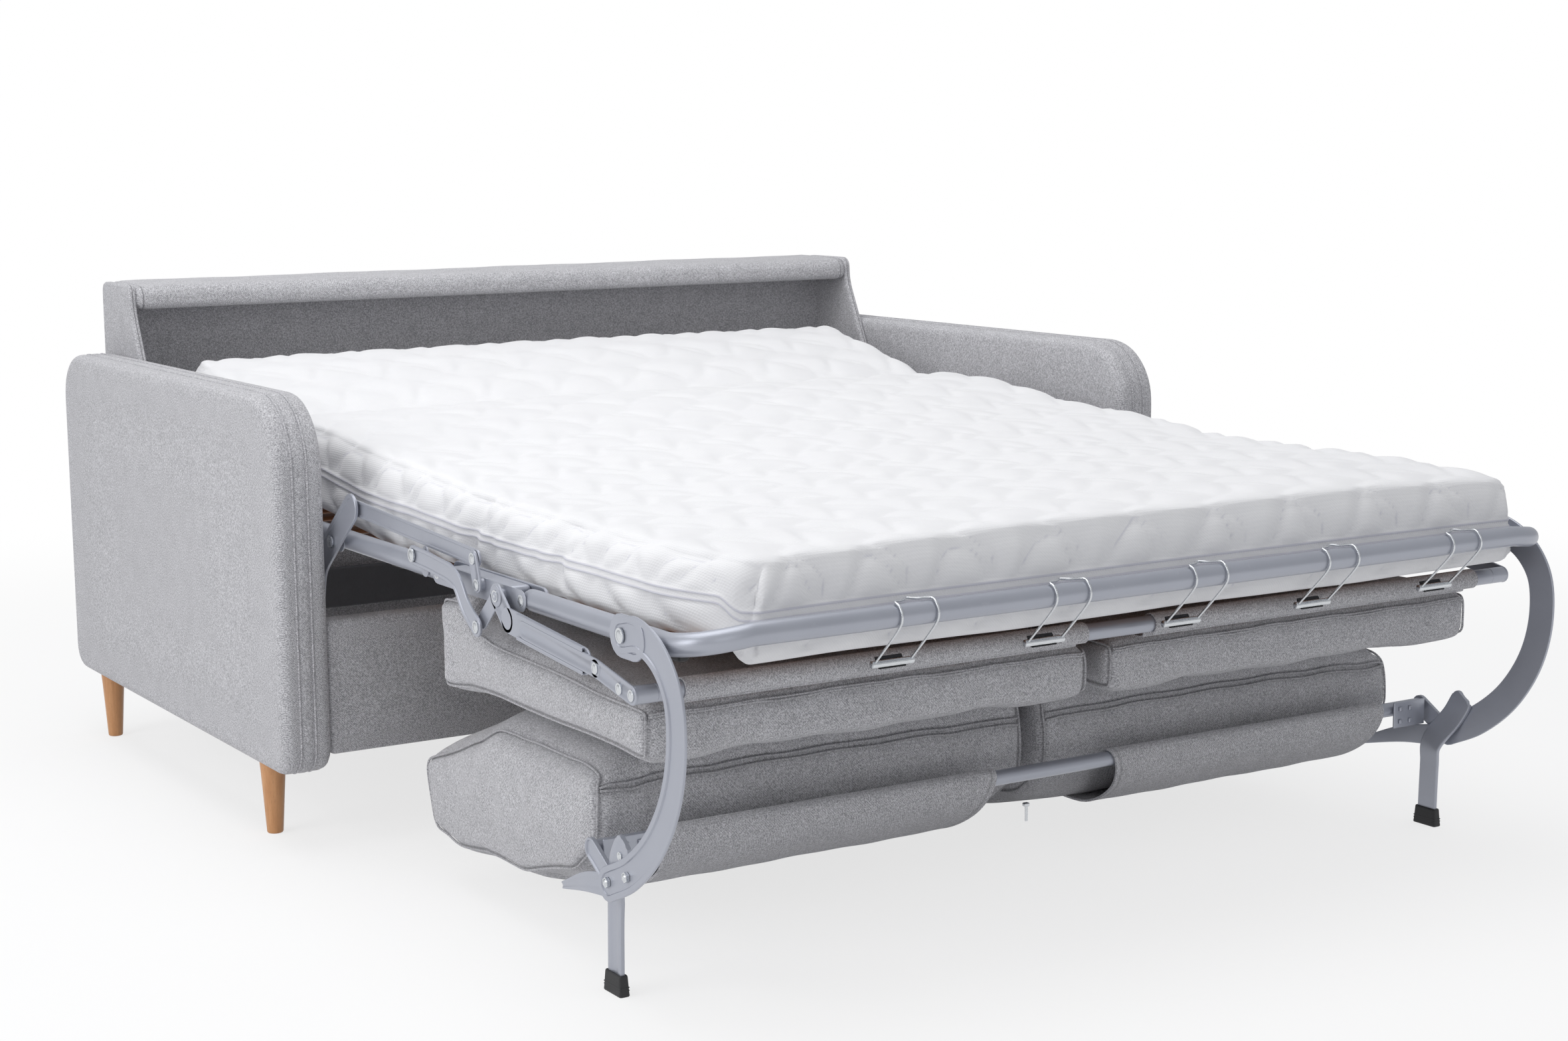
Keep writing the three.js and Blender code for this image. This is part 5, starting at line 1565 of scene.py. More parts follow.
@dataclass
class MattressClips:
    """The wire clips that hook over the foot bar and hold the mattress straps."""

    over: float = 18.0
    half: float = 28.0
    reach: float = 45.0
    drop: float = 70.0
    wire: float = 1.7
    shares: tuple[float, ...] = (-0.64, -0.27, 0.09, 0.46, 0.83)
    angles: tuple[float, ...] = (226.0, 193.0, 160.0, 127.0, 95.0)

    def clip(self, x: float) -> Shape:
        """The bent wire of one clip and the short tube that it holds.

        Args:
            x: its middle.

        Returns:
            The closed shape.
        """
        y, z = FOOT_BAR
        tube_place = (y + self.reach, z - self.drop)
        turns = [math.radians(a) for a in self.angles]

        def hook(at: float) -> list[Point]:
            """One leg, from the tube up and round the bar."""
            return [(at, *tube_place), *((at, y + self.over * math.cos(a), z + self.over * math.sin(a)) for a in turns)]

        top = z + self.over
        notch = [(x + k * self.half / 3, y + self.over / 3 + (9.0 if k == 0 else 0.0), top) for k in (-1, 0, 1)]
        route = [*hook(x - self.half), *notch, *hook(x + self.half)[::-1]]
        bent = tube(smooth_route(route, 7), self.wire, 10)
        e = self.half + self.wire + 3
        barrel = turned_part([(x - e, 3.8), (x - e + 0.8, 4.9), (x + e - 0.8, 4.9), (x + e, 3.8)], tube_place, 20)
        return bent.with_shape(barrel)

    def strap(self, x: float) -> Shape:
        """The strap end that holds a clip's tube from behind.

        Args:
            x: its middle.

        Returns:
            A short band behind the tube.
        """
        y, z = FOOT_BAR[0] + self.reach, FOOT_BAR[1] - self.drop
        route = [(y - 1.0, z - 6.2), (y + 4.6, z - 4.8), (y + 6.8, z - 0.6), (y + 7.6, z + 3.4), (y + 9.6, z + 7.0)]
        return strip(route, 1.3, x - 21, x + 21)

    def build(self) -> None:
        """Builds and dresses the five clips and their straps."""
        for i, share in enumerate(self.shares):
            x = share * (TUBE_X - FOOT_CORNER)
            keeping = Keeping("clip_set", ZINC, "zinc", (f"mattress_clip_{i + 1}",))
            add_piece(f"foot_clip_{i + 1}", self.clip(x), keeping)
            add_piece(f"clip_strap_{i + 1}", self.strap(x), Keeping("clip_set", WEBBING, "black_plastic"))


@dataclass
class SeatFrame:
    """The channels and sliders that carry the seat cushions."""

    pivot: Place = (-713.0, TUBE_AXIS)
    channel: tuple[Place, Place] = ((-745.0, 456.0), (-965.0, 438.0))
    tail: Place = (-668.0, 443.0)
    end: Place = (-1094.0, 417.0)
    height: float = 36.0
    tube_r: float = 12.0

    def line_z(self, y: float) -> float:
        """The height of the channel's middle line at y."""
        (y0, z0), (y1, z1) = self.channel
        return z0 + (y - y0) * (z1 - z0) / (y1 - y0)

    def arms(self) -> None:
        """Builds the pressed channels."""
        web = strip(self.channel, self.height, 760.0, 763.0)
        head = strip([self.pivot, self.channel[0]], self.height, 760.0, 763.0, Pressed(5.0, 0.9))
        tail = strip([self.pivot, self.tail], 24.0, 760.0, 763.0)
        first, last = self.channel[0][0] - self.height, self.channel[1][0]
        lips = []
        for side in (1, -1):
            off = side * (self.height - 3.0) / 2
            ends = [(first, self.line_z(first) + off), (last, self.line_z(last) + off)]
            lips.append(strip(ends, 3.0, 760.4, 767.0))
            ends = [(y, z - side * 2.4) for y, z in ends]
            lips.append(strip(ends, 3.6, 765.8, 767.0))
        boss = turned_part([(762.6, 15.0), (763.6, 14.4), (763.9, 12.8), (763.9, 7.0)], self.pivot)
        shape = web.with_shape(head, tail, boss, *lips)
        add_pair("seat_channel", shape, steel("seat_arms", "seat_arm_right"))

    def sliders(self) -> None:
        """Builds the telescoping bars and the cross tube."""
        start = (-800.0, self.line_z(-800.0))
        bend_y = self.channel[1][0] - self.height
        bend = (bend_y, self.line_z(bend_y))
        long_bar = strip([start, bend], 25.0, 763.4, 767.0, Pressed(4.6, 0.9))
        short_bar = strip([bend, self.end], 25.0, 763.4, 767.0, Pressed(4.6, 0.9))
        stub = washer_stack(734.0, 764.0, self.tube_r, self.end)
        cross = tube([(x, *self.end) for x in np.linspace(-TUBE_X, TUBE_X, 9)], self.tube_r, 24)
        shape = long_bar.with_shape(short_bar, stub).both_sides().with_shape(cross)
        add_piece("seat_slider", shape, steel("seat_frame", "seat_slide_frame"))
        heads = [(767.0, *bend), (767.0, *self.end), (767.0, -1063.0, 420.0)]
        fasteners("seat_slider_rivets", "seat_frame", heads, 7.6, 1.8, RIVETS)

    def sleeves(self) -> None:
        """Wraps a cloth sleeve round the cross tube for each cushion."""
        y, z = self.end
        r = self.tube_r + 1.75
        first, last, tongue = 60.0, 697.0, 394.8
        turns = [math.radians(a) for a in range(-20, 245, 12)]
        round_tube = [(y + r * math.sin(a + math.pi / 2), z + r * -math.cos(a + math.pi / 2)) for a in turns]
        route = [(y + 38, tongue), (y + 16, tongue + 1.4), (y + r + 0.4, tongue + 13), *round_tube]
        outline = strip_outline(route, 2.2, 3)
        rings = []
        for x in np.linspace(first, last, 110):
            sway = 0.5 * np.sin(x * 0.06 + outline[:, 1] * 0.05) * (outline[:, 1] < z - r)
            rings.append(across(x, outline + np.stack([sway, 0 * sway], axis=1)))
        length = float(np.linalg.norm(np.diff(smooth_route(route, 3), axis=0), axis=1).sum())
        for obj in add_pair("seat_tube_sleeve", skin(rings), twill("seat_frame", "seat_sleeve_right")):
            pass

    def build(self) -> None:
        """Builds and dresses the seat frame."""
        self.arms()
        self.sliders()
        self.sleeves()


@dataclass
class BackFrame:
    """The curved arms, legs, cross tube, side bars and boots that hold the back cushions."""

    reach: float = 134.0
    drop: float = 318.0
    width: float = 46.0
    tube_r: float = 11.0
    shares: tuple[Place, ...] = (
        (0.0, 0.0),
        (0.3, -0.02),
        (0.68, 0.04),
        (0.94, 0.17),
        (1.0, 0.36),
        (0.88, 0.58),
        (0.56, 0.79),
        (0.1, 0.95),
        (-0.35, 1.04),
    )
    leg: tuple[Place, ...] = ((-1036.0, 208.0), (-988.0, 132.0), (-984.0, 27.0))

    def place(self, share: Place) -> Place:
        """Where a share of the arm's reach and drop lies."""
        return (BACK_PIVOT[0] - share[0] * self.reach, BACK_PIVOT[1] - share[1] * self.drop)

    def arms(self) -> None:
        """Builds the curved arms with their pressed groove and bolts."""
        route = [self.place(share) for share in self.shares]
        blade = strip(route, self.width, 753.0, 757.0, Pressed(8.0, 1.7))
        plate = strip([BACK_PIVOT, self.place((0.24, 0.0))], self.width + 10.0, 753.2, 756.8, Pressed(9.0, 1.4))
        add_pair("back_arm_blade", blade.with_shape(plate), steel("back_frame", "back_arm_right"))
        bolts = [(758.0, *self.place(share)) for share in ((0.04, 0.97), (-0.34, 1.03))]
        fasteners("back_arm_bolts", "back_frame", bolts, 7.2, 4.4, BOLTS)

    def bent_sheet(self, stations: Sequence[tuple[float, ...]], thick: float) -> Shape:
        """A sheet that changes its width and its distance from the middle along its way.

        Args:
            stations: x, y, z and width at each place.
            thick: its thickness.

        Returns:
            The sheet, with a pressed middle.
        """
        way = smooth_route(stations, 6)
        ahead = np.gradient(way[:, 1:3], axis=0)
        ahead /= np.linalg.norm(ahead, axis=1, keepdims=True)
        rings = []
        for (x, y, z, width), (dy, dz) in zip(way, ahead):
            ring = even_loop(rounded_corners(rectangle((0.0, 0.0), width, thick), thick * 0.3), 64)
            ring[:, 1] -= 1.1 * np.exp(-((ring[:, 0] / max(width * 0.24, 0.1)) ** 4)) * (ring[:, 1] > 0)
            rings.append(np.column_stack([x + ring[:, 1], y - dz * ring[:, 0], z + dy * ring[:, 0]]))
        return skin(rings)

    def legs(self) -> None:
        """Builds the folded sheet legs with their gussets, end plates, screws and side bars."""
        top, knee, foot = self.leg
        upper, lower = 749.1, TUBE_X
        bend = between(top, knee, [(0.35, 0.35)])[0]
        stations = [(upper, top[0] - 5, top[1] + 8, 24.0), (upper, top[0] - 2, top[1] + 4, 36.0), (upper, *top, 40.0)]
        stations += [(upper, *bend, 40.0), (lower, *knee, 38.0), (lower, -986.0, 100.0, 36.0), (lower, *foot, 36.0)]
        leg = self.bent_sheet(stations, 6.4)
        plate = rounded_box((674.0, -966.4, 160.0), (741.0, -963.2, 201.0), 1.2, 8.0)
        spots = [(x, z) for x in (687, 708) for z in (170, 190)]
        screws = [rounded_box((x - 3.6, -969.0, z - 3.6), (x + 3.6, -966.0, z + 3.6), 1.8, 2.4) for x, z in spots]
        gusset = strip([CUSHION_TUBE, (-998.0, 158.0)], 30.0, 745.8, 752.4, Pressed(3.0, 2.0))
        bar = [(742.0, -990.0, 146.0, 34.0), (741.5, -920.0, 134.0, 27.0), (733.0, -835.0, 107.0, 10.0)]
        shape = leg.with_shape(plate, gusset, self.bent_sheet(bar, 3.4), *screws)
        add_pair("back_leg_sheet", shape, steel("back_frame", "back_leg_right"))
        cross = tube([(x, *CUSHION_TUBE) for x in np.linspace(-746.0, 746.0, 9)], self.tube_r, 24)
        add_piece("back_cushion_tube", cross, steel("back_frame", "back_cross_tube"))
        heads = [(752.3, -1030.0, 196.0), (752.3, -1010.0, 168.0)]
        fasteners("back_leg_rivets", "back_frame", heads, 5.6, 1.6, RIVETS)

    def boots(self) -> None:
        """Builds the plastic boots over the legs' feet."""
        x, y = TUBE_X, self.leg[2][0]
        steps = [(0.0, 44.6, 13.6), (0.9, 46.0, 15.0), (2.4, 46.0, 15.0), (5.0, 45.3, 14.5), (25.4, 42.2, 12.3)]
        steps += [(27.2, 41.6, 11.8), (28.0, 40.6, 10.8), (28.0, 37.4, 7.6), (27.2, 36.8, 7.0), (9.0, 36.6, 6.8)]
        rings = []
        for z, length, width in steps:
            outline = even_loop(rounded_corners(rectangle((x, y), width, length), 3.0), 72)
            rings.append(np.column_stack([outline, np.full(len(outline), z)]))
        low, high = (x - 7.1, y - 22.4), (x + 7.1, y + 22.4)
        ribs = [rounded_box((*low, z), (*high, z + 1.6), 0.7, 9.0) for z in (7.6, 11.4)]
        shape = skin(rings).with_shape(*ribs)
        add_pair("leg_boot", shape, Keeping("back_frame", PLASTIC, "black_plastic", ("boot_right",)))

    def build(self) -> None:
        """Builds and dresses the back frame."""
        self.arms()
        self.legs()
        self.boots()


# Soft goods


@dataclass(frozen=True)
class MattressPart:
    """One part between two cuts, what it rides on and, where it bends, between which bodies and places."""

    name: str
    start: float
    end: float
    bodies: tuple[str, ...]
    bend: tuple[float, ...] = ()
    stands_for: tuple[str, ...] = ()


@dataclass
class Mattress:
    """A quilted foam mattress with a zip round its side, folded at the knee and at the head."""

    half: float = 700.0
    foot_y: float = -1172.0
    head_y: float = 690.0
    low_z: float = 478.0
    thick: float = 112.0
    edge: float = 24.0
    quilt: float = 146.0
    step: float = 6.6
    rise: float = 25.4
    fold: Point = (-220.0, 160.0, HEAD_HINGE[0])
    cuts: tuple[float, ...] = (FOOT_HINGE[0], -632.0, -470.0, 215.0)
    rumples: tuple[Point, ...] = (
        (-500.0, 9.0, 20.0),
        (-560.0, 4.0, 16.0),
        (-765.0, 8.0, 18.0),
        (-700.0, 3.5, 14.0),
        (330.0, 8.0, 16.0),
    )
    hang: float = 29.0
    fill: float = 20.0
    notch: float = 14.0
    corner_draw: Place = (56.0, -8.0)
    top_draw: Place = (16.0, 4.0)

    def parts(self) -> list[MattressPart]:
        """The parts from the foot to the head.

        Returns:
            The five parts.
        """
        far = 2000.0
        a, b, c, d = self.cuts
        foot = ("mid_section", "foot_section")
        base = ("base_section", "mid_section")
        head = ("base_section", "head_section")
        return [
            MattressPart("mattress_foot_part", -far, a, ("foot_section",), (), ("mattress_foot",)),
            MattressPart("mattress_knee_foot", a, b, foot, (-700.0, -764.0), ("mattress_knee",)),
            MattressPart("mattress_knee_base", b, c, base, (-471.0, -540.0)),
            MattressPart("mattress_base_part", c, d, ("base_section",), (), ("mattress_base",)),
            MattressPart("mattress_head_part", d, far, head, (216.0, 400.0), ("mattress_head",)),
        ]

    def z_levels(self) -> np.ndarray:
        """Levels up the side, closer together at the zip.

        Returns:
            The heights in millimetres.
        """
        share = [0, 3, 8, 14, 20, 26, 33, 40, 46, 49, 50.6, 52.2, 53.8, 56, 58.2, 59.8, 61.4, 63, 66, 72, 79, 86, 92]
        share += [98, 104, 109, 112]
        return self.low_z + np.array(share, float) * self.thick / 112

    def lift(self, y: np.ndarray) -> np.ndarray:
        """How far the frame raises the mattress at y.

        Args:
            y: places along the bed.

        Returns:
            The rise at each place.
        """
        a, b, hinge = self.fold
        share = np.clip((y - a) / (b - a), 0, 1)
        tilt = math.tan(HEAD_TILT)
        soft = 26.0
        bend = soft * np.logaddexp(0, (y - hinge) / soft) * tilt
        return self.rise * eased(share) * 0.98 + bend

    def quilting(self, u: np.ndarray, v: np.ndarray) -> tuple[np.ndarray, np.ndarray]:
        """The cloud-like quilting over the unfolded cover.

        Args:
            u: places across.
            v: places along.

        Returns:
            The puff from 0 to 1 and the share of stitching.
        """
        q = self.quilt
        turn = 2 * np.pi / q
        a = u / q + 0.20 * np.sin(turn * v + 0.8) + 0.06 * np.sin(turn * v / 0.5)
        b = (v / q + 0.24 * np.sin(turn * u) + 0.05 * np.sin(turn * u / 0.47)) / 0.92
        sa, sb = np.abs(np.sin(np.pi * a)), np.abs(np.sin(np.pi * b))
        puff = np.minimum(sa, sb * 1.05) ** 0.8
        near = np.minimum(sa, sb) * q / np.pi
        return puff, np.exp(-((near / 2.6) ** 2))

    def shaped(self) -> Shape:
        """The whole mattress before it is cut into its bending parts.

        Returns:
            The closed shape.
        """
        xs = levels(-self.half, self.half, self.step, self.edge)
        ys = levels(self.foot_y, self.head_y, self.step, self.edge)
        for cut in self.cuts:
            ys[np.argmin(np.abs(ys - cut))] = cut
        shape = lattice_box([xs, ys, self.z_levels()])
        low, high = (-self.half, self.foot_y, self.low_z), (self.half, self.head_y, self.low_z + self.thick)
        raw = shape.points.copy()
        points = soften_edges(raw, low, high, self.edge)
        out = points - np.clip(raw, np.asarray(low) + self.edge, np.asarray(high) - self.edge)
        normal = out / np.maximum(np.linalg.norm(out, axis=1, keepdims=True), 1e-9)
        x, y, z = raw.T
        top, down = self.low_z + self.thick, self.low_z + self.thick - z
        side = np.clip((np.abs(x) - self.half + self.edge) / self.edge, 0, 1)
        foot = np.clip((self.foot_y + self.edge - y) / self.edge, 0, 1)
        head = np.clip((y - self.head_y + self.edge) / self.edge, 0, 1)
        u = x + np.sign(x) * side * down
        v = y - foot * down + head * down
        puff, stitch = self.quilting(u, v)
        band = np.abs(z - self.low_z - self.thick / 2)
        wall = np.maximum.reduce([side, foot, head])
        near_zip = np.exp(-((band / 11.0) ** 4)) * (wall > 0.99)
        tape = (np.abs(band - 4.6) < 1.4) * (wall > 0.99)
        quilted = (1 - near_zip) * (z > self.low_z + 12)
        height = np.where(wall > 0.5, 8.5, 5.0)
        push = (puff - 0.72) * height * quilted - 2.4 * near_zip + 2.2 * tape + self.softness(x, y, z, wall)
        points += normal * push[:, None]
        points[:, 2] += 4.0 * (1 - (x / self.half) ** 2) * (z >= top - 0.1)
        self.settled(points, raw)
        points[:, 2] += self.lift(points[:, 1])
        self.rumple(points, raw)
        shape.points = points
        shape.seam = np.clip(stitch * quilted * (0.2 + 0.5 * wall) + tape * 1.0, 0, 1)
        return shape

    def settled(self, points: np.ndarray, raw: np.ndarray) -> None:
        """Lets the foot end hang behind the bar, draws its corners in and fills the head end out.

        Args:
            points: the points that are moved.
            raw: their places before rounding.
        """
        x, y, z = raw.T
        out = np.sign(x)
        rise = np.clip((z - self.low_z) / self.thick, 0, 1)
        hang = eased(np.clip((self.foot_y + 42 - y) / 32, 0, 1))
        full = eased(np.clip((y + 600) / 420, 0, 1))
        fold = np.exp(-(((y - self.fold[2]) / 46) ** 2))
        points[:, 2] += self.fill * full * rise - self.hang * hang * (1 - rise) ** 0.6 - self.notch * fold * rise**2
        near = np.clip((self.foot_y + 170 - y) / 170, 0, 1) ** 2
        side = np.clip(np.abs(x) / self.half, 0, 1) ** 3
        corner, top = (np.where(x < 0, *draws) for draws in (self.corner_draw, self.top_draw))
        points[:, 0] -= out * side * (near * corner + rise**3 * top)
        points[:, 2] -= 10.0 * near * side * rise**2

    def softness(self, x: np.ndarray, y: np.ndarray, z: np.ndarray, wall: np.ndarray) -> np.ndarray:
        """Slow unevenness of the foam and the cover.

        Args:
            x: places across.
            y: places along.
            z: heights.
            wall: 1 on the sides and 0 on the top.

        Returns:
            How far each point stands out.
        """
        slow = np.sin(x * 0.011 + 0.7) * np.sin(y * 0.013 + 0.4) * 1.3
        quick = np.sin(x * 0.031 + y * 0.017) * np.sin(y * 0.037 - z * 0.05 + 1.1) * 0.9
        return slow + quick * (0.5 + wall)

    def rumple(self, points: np.ndarray, raw: np.ndarray) -> None:
        """Draws the cover in at the knee and head folds.

        Args:
            points: the points that are moved.
            raw: their places before rounding.
        """
        side = np.clip((np.abs(raw[:, 0]) - self.half + 60) / 60, 0, 1) ** 2
        slant = (raw[:, 2] - self.low_z - self.thick / 2) * 0.22
        top = raw[:, 2] > self.low_z + self.thick - 1
        for y, deep, wide in self.rumples:
            dip = np.exp(-(((raw[:, 1] - y + slant) / wide) ** 2))
            points[:, 0] -= np.sign(raw[:, 0]) * deep * dip * side
            points[:, 2] -= deep * 0.45 * dip * top * (0.35 + 0.65 * side)

    def build(self) -> None:
        """Builds the mattress, cuts it at its folds and lets each part without a bend ride on its body."""
        whole = mesh_piece("mattress_whole", self.shaped(), 75.0)
        normals = read_vectors(whole.data, "normal")
        for part in self.parts():
            obj = self.cut(whole, part, normals)
            obj.data.materials.append(COVER.material())
            if part.stands_for:
                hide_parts(*part.stands_for)
            if part.bend:
                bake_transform(obj)
            else:
                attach(obj, *part.bodies)
            LOG.info("%s: %d faces", part.name, len(obj.data.polygons))
        bpy.data.objects.remove(whole)

    def cut(self, whole: bpy.types.Object, part: MattressPart, normals: np.ndarray) -> bpy.types.Object:
        """Takes the part between two places and closes it.

        Args:
            whole: the whole mattress.
            part: the part.
            normals: the whole mattress's normals, so that the cuts don't show.

        Returns:
            The part's object.
        """
        mesh = whole.data.copy()
        mesh.name = part.name
        raw = mesh.attributes.new("whole_index", "INT", "POINT")
        raw.data.foreach_set("value", np.arange(len(mesh.vertices), dtype=np.int32))
        work = bmesh.new()
        work.from_mesh(mesh)
        low, high = ((y + ROW_SHIFT) * MILLIMETRE for y in (part.start, part.end))
        far = [f for f in work.faces if not low < f.calc_center_median().y < high]
        bmesh.ops.delete(work, geom=far, context="FACES")
        rims = [e for e in work.edges if e.is_boundary]
        bmesh.ops.holes_fill(work, edges=rims, sides=0)
        work.to_mesh(mesh)
        work.free()
        index = np.zeros(len(mesh.vertices), np.int32)
        mesh.attributes["whole_index"].data.foreach_get("value", index)
        mesh.attributes.remove(mesh.attributes["whole_index"])
        mesh.normals_split_custom_set_from_vertices(normals[index].tolist())
        return new_object(part.name, mesh)


@dataclass(frozen=True)
class Filling:
    """How a cushion's cover swells over its filling."""

    voxel: float = 0.0085
    pressure: float = 4.0
    cap: float = 0.012
    frames: int = 20

    def swell(self, obj: bpy.types.Object) -> None:
        """Remeshes a cushion, lets it swell as cloth and keeps the result.

        Args:
            obj: the cushion, a little smaller than it ends.
        """
        even = obj.modifiers.new("even", "REMESH")
        even.mode = "VOXEL"
        even.voxel_size = self.voxel
        applied(obj)
        rest = read_vectors(obj.data)
        cloth = obj.modifiers.new("fill", "CLOTH")
        cloth.settings.use_pressure = True
        cloth.settings.uniform_pressure_force = self.pressure
        cloth.settings.effector_weights.gravity = 0.0
        cloth.settings.quality = 4
        cloth.point_cache.frame_start = 1
        cloth.point_cache.frame_end = self.frames
        scene = bpy.context.scene
        for number in range(1, self.frames + 1):
            scene.frame_set(number)
        made = obj.evaluated_get(bpy.context.evaluated_depsgraph_get())
        moved = read_vectors(made.data) - rest
        obj.modifiers.clear()
        scene.frame_set(1)
        far = np.linalg.norm(moved, axis=1, keepdims=True)
        kept = self.cap * np.tanh(far / self.cap) / np.maximum(far, 1e-9)
        write_points(obj.data, rest + moved * kept)
        round_off = obj.modifiers.new("round_off", "SMOOTH")
        round_off.factor = 0.5
        round_off.iterations = 2
        fine = obj.modifiers.new("fine", "SUBSURF")
        fine.levels = fine.render_levels = 1
        applied(obj)


def read_vectors(mesh: bpy.types.Mesh, what: str = "co") -> np.ndarray:
    """A mesh's points, or its normals, as an array.

    Args:
        mesh: the mesh.
        what: co for its points or normal for its normals.

    Returns:
        One row for each point.
    """
    vectors = np.zeros(len(mesh.vertices) * 3)
    mesh.vertices.foreach_get(what, vectors)
    return vectors.reshape(-1, 3)


def write_points(mesh: bpy.types.Mesh, points: np.ndarray) -> None:
    """Writes an array back to a mesh's points."""
    mesh.vertices.foreach_set("co", points.ravel())
    mesh.update()


@dataclass
class Cushion:
    """One boxed cushion with a side-view outline, seams round its ends and a zip along it."""

    name: str
    node: str
    body: str
    outline: Sequence[Place]
    outer: float
    corner: float
    zip_edges: tuple[Place, Place]
    mirrored: bool
    crown: float = 7.0
    shoulder: float = 0.0
    inner: float = 3.0
    soft: float = 13.0
    puff: float = 7.0
    cord: float = 1.8
    filling: Filling = Filling()

    @property
    def side(self) -> float:
        """1 for the right cushion and -1 for the left one."""
        return -1.0 if self.mirrored else 1.0

    def block(self) -> Shape:
        """The cushion before it swells: crowned faces, drawn-in sides and soft edges.

        Returns:
            The closed shape.
        """
        outline = even_loop(rounded_corners(self.outline, self.corner, 6), 190)
        twice_area = np.sum(outline[:, 0] * np.roll(outline[:, 1], -1) - np.roll(outline[:, 0], -1) * outline[:, 1])
        if twice_area < 0:
            outline = outline[::-1]
        base = drawn_in(outline, 4.0)
        centre = base.mean(axis=0)
        middle = (self.inner + self.outer) / 2
        half = (self.outer - self.inner) / 2 - 4.0
        soft = self.soft
        ends = [(0.0, soft), (0.7, soft * 0.68), (2.6, soft * 0.42), (6.0, soft * 0.2), (11.0, soft * 0.06)]
        stations = [(middle - half + d, i) for d, i in ends]
        stations += [(middle + r * (half - soft), 0.0) for r in np.linspace(-1, 1, 74)]
        stations += [(middle + half - d, i) for d, i in ends[::-1]]
        rings = []
        for x, inset in stations:
            share = 1 - ((x - middle) / half) ** 2
            ring = drawn_in(base, inset)
            out = ring - drawn_in(ring, 1.0)
            over = np.clip((ring[:, 1] - centre[1]) / (base[:, 1].max() - centre[1]), 0, 1)
            ring[:, 1] -= self.shoulder * over * np.clip((x - middle) / half, 0, 1) ** 5
            swell = self.crown * (share - 0.45) * self.flat_share(ring)
            wave = 1.2 * np.sin(x * 0.021 + ring[:, 0] * 0.018) + 0.8 * np.sin(x * 0.047 - ring[:, 1] * 0.05)
            rings.append(across(x, ring + out * (swell + wave)[:, None]))
        shares = [0.03, 0.3, 0.55, 0.78, 0.92]

        def face(ring: np.ndarray, sign: int) -> list[np.ndarray]:
            """The end face, with its middle a little proud."""
            x, flat = ring[0][0], ring[:, 1:]
            return [across(x + sign * self.puff * (1 - s * s), centre + (flat - centre) * s) for s in shares]

        return skin(face(rings[0], -1) + rings + face(rings[-1], 1)[::-1])

    def flat_share(self, ring: np.ndarray) -> np.ndarray:
        """How far a ring's points lie from the outline's corners, from 0 to 1.

        Args:
            ring: the ring's (y, z) points.

        Returns:
            The share at each point.
        """
        corners = np.asarray(self.outline, float)
        near = np.min(np.linalg.norm(ring[:, None, :] - corners[None], axis=2), axis=1)
        return np.clip(near / 90.0, 0, 1)

    def make(self) -> bpy.types.Object:
        """Builds, swells, seams and keeps the cushion.

        Returns:
            The finished cushion.
        """
        shape = self.block()
        if self.mirrored:
            shape = shape.mirrored()
        obj = mesh_piece(self.name, shape, 80.0)
        self.filling.swell(obj)
        low, high = (np.array(corner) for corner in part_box(self.node))
        margin = np.array((0.0015, 0.004, 0.001))
        points = np.clip(read_vectors(obj.data), low - margin, high + margin)
        off_middle = 0.0018
        points[:, 0] = self.side * np.maximum(points[:, 0] * self.side, off_middle)
        write_points(obj.data, points)
        obj.data.polygons.foreach_set("use_smooth", [True] * len(obj.data.polygons))
        self.sew(obj)
        keep(obj, twill(self.body, self.node))
        return obj

    def paths(self) -> list[np.ndarray]:
        """The paths of the end seams and of the zip on the block, in millimetres.

        Returns:
            The two end seams and then the zip's edges.
        """
        outline = even_loop(rounded_corners(self.outline, self.corner, 6), 150)
        ends = [across(x, outline) for x in (self.outer - 9, self.inner + 9)]
        xs = np.linspace(self.inner + 10, self.outer - 10, 90)
        zips = [np.array([(x, *edge) for x in xs]) for edge in self.zip_edges]
        return [np.vstack([end, end[:1]]) for end in ends] + zips

    def sew(self, obj: bpy.types.Object) -> None:
        """Sinks the seams into the cover and lays a cord on each.

        Args:
            obj: the swollen cushion.
        """
        cover = BVHTree.FromObject(obj, bpy.context.evaluated_depsgraph_get())
        cords: list[Shape] = []
        lines: list[np.ndarray] = []
        for path in self.paths():
            laid = []
            for point in to_row(path * (self.side, 1.0, 1.0)):
                spot, normal, _, _ = cover.find_nearest(Vector(point))
                laid.append(np.array(spot) + np.array(normal) * 0.0002)
            line = np.array(laid)
            for _ in range(2):
                line[1:-1] = line[1:-1] * 0.5 + (line[:-2] + line[2:]) * 0.25
            lines.append(line)
            cords.append(tube(line / MILLIMETRE - (0.0, ROW_SHIFT, 0.0), self.cord, 7).sewn(0.45))
        self.sink(obj, np.vstack(lines))
        keep(mesh_piece(f"{self.name}_seams", cords[0].with_shape(*cords[1:]), 60.0), twill(self.body))

    def sink(self, obj: bpy.types.Object, line: np.ndarray) -> None:
        """Presses the cover in beside its seams.

        Args:
            obj: the cushion.
            line: points along all its seams.
        """
        tree = KDTree(len(line))
        for i, point in enumerate(line):
            tree.insert(point, i)
        tree.balance()
        mesh = obj.data
        points, normals = read_vectors(mesh), read_vectors(mesh, "normal")
        away = np.array([tree.find(point)[2] for point in points])
        deep, wide, stitch = 0.0036, 0.0085, 0.0042
        write_points(mesh, points - normals * (np.exp(-((away / wide) ** 2)) * deep)[:, None])
        # The seam share makes the twill darker beside the seams: painted shade in the pressed-in grooves.
        attribute = mesh.attributes.get("seam") or mesh.attributes.new("seam", "FLOAT", "POINT")
        share = np.exp(-((away / stitch) ** 2)) * 0.8
        attribute.data.foreach_set("value", share.astype(np.float32))


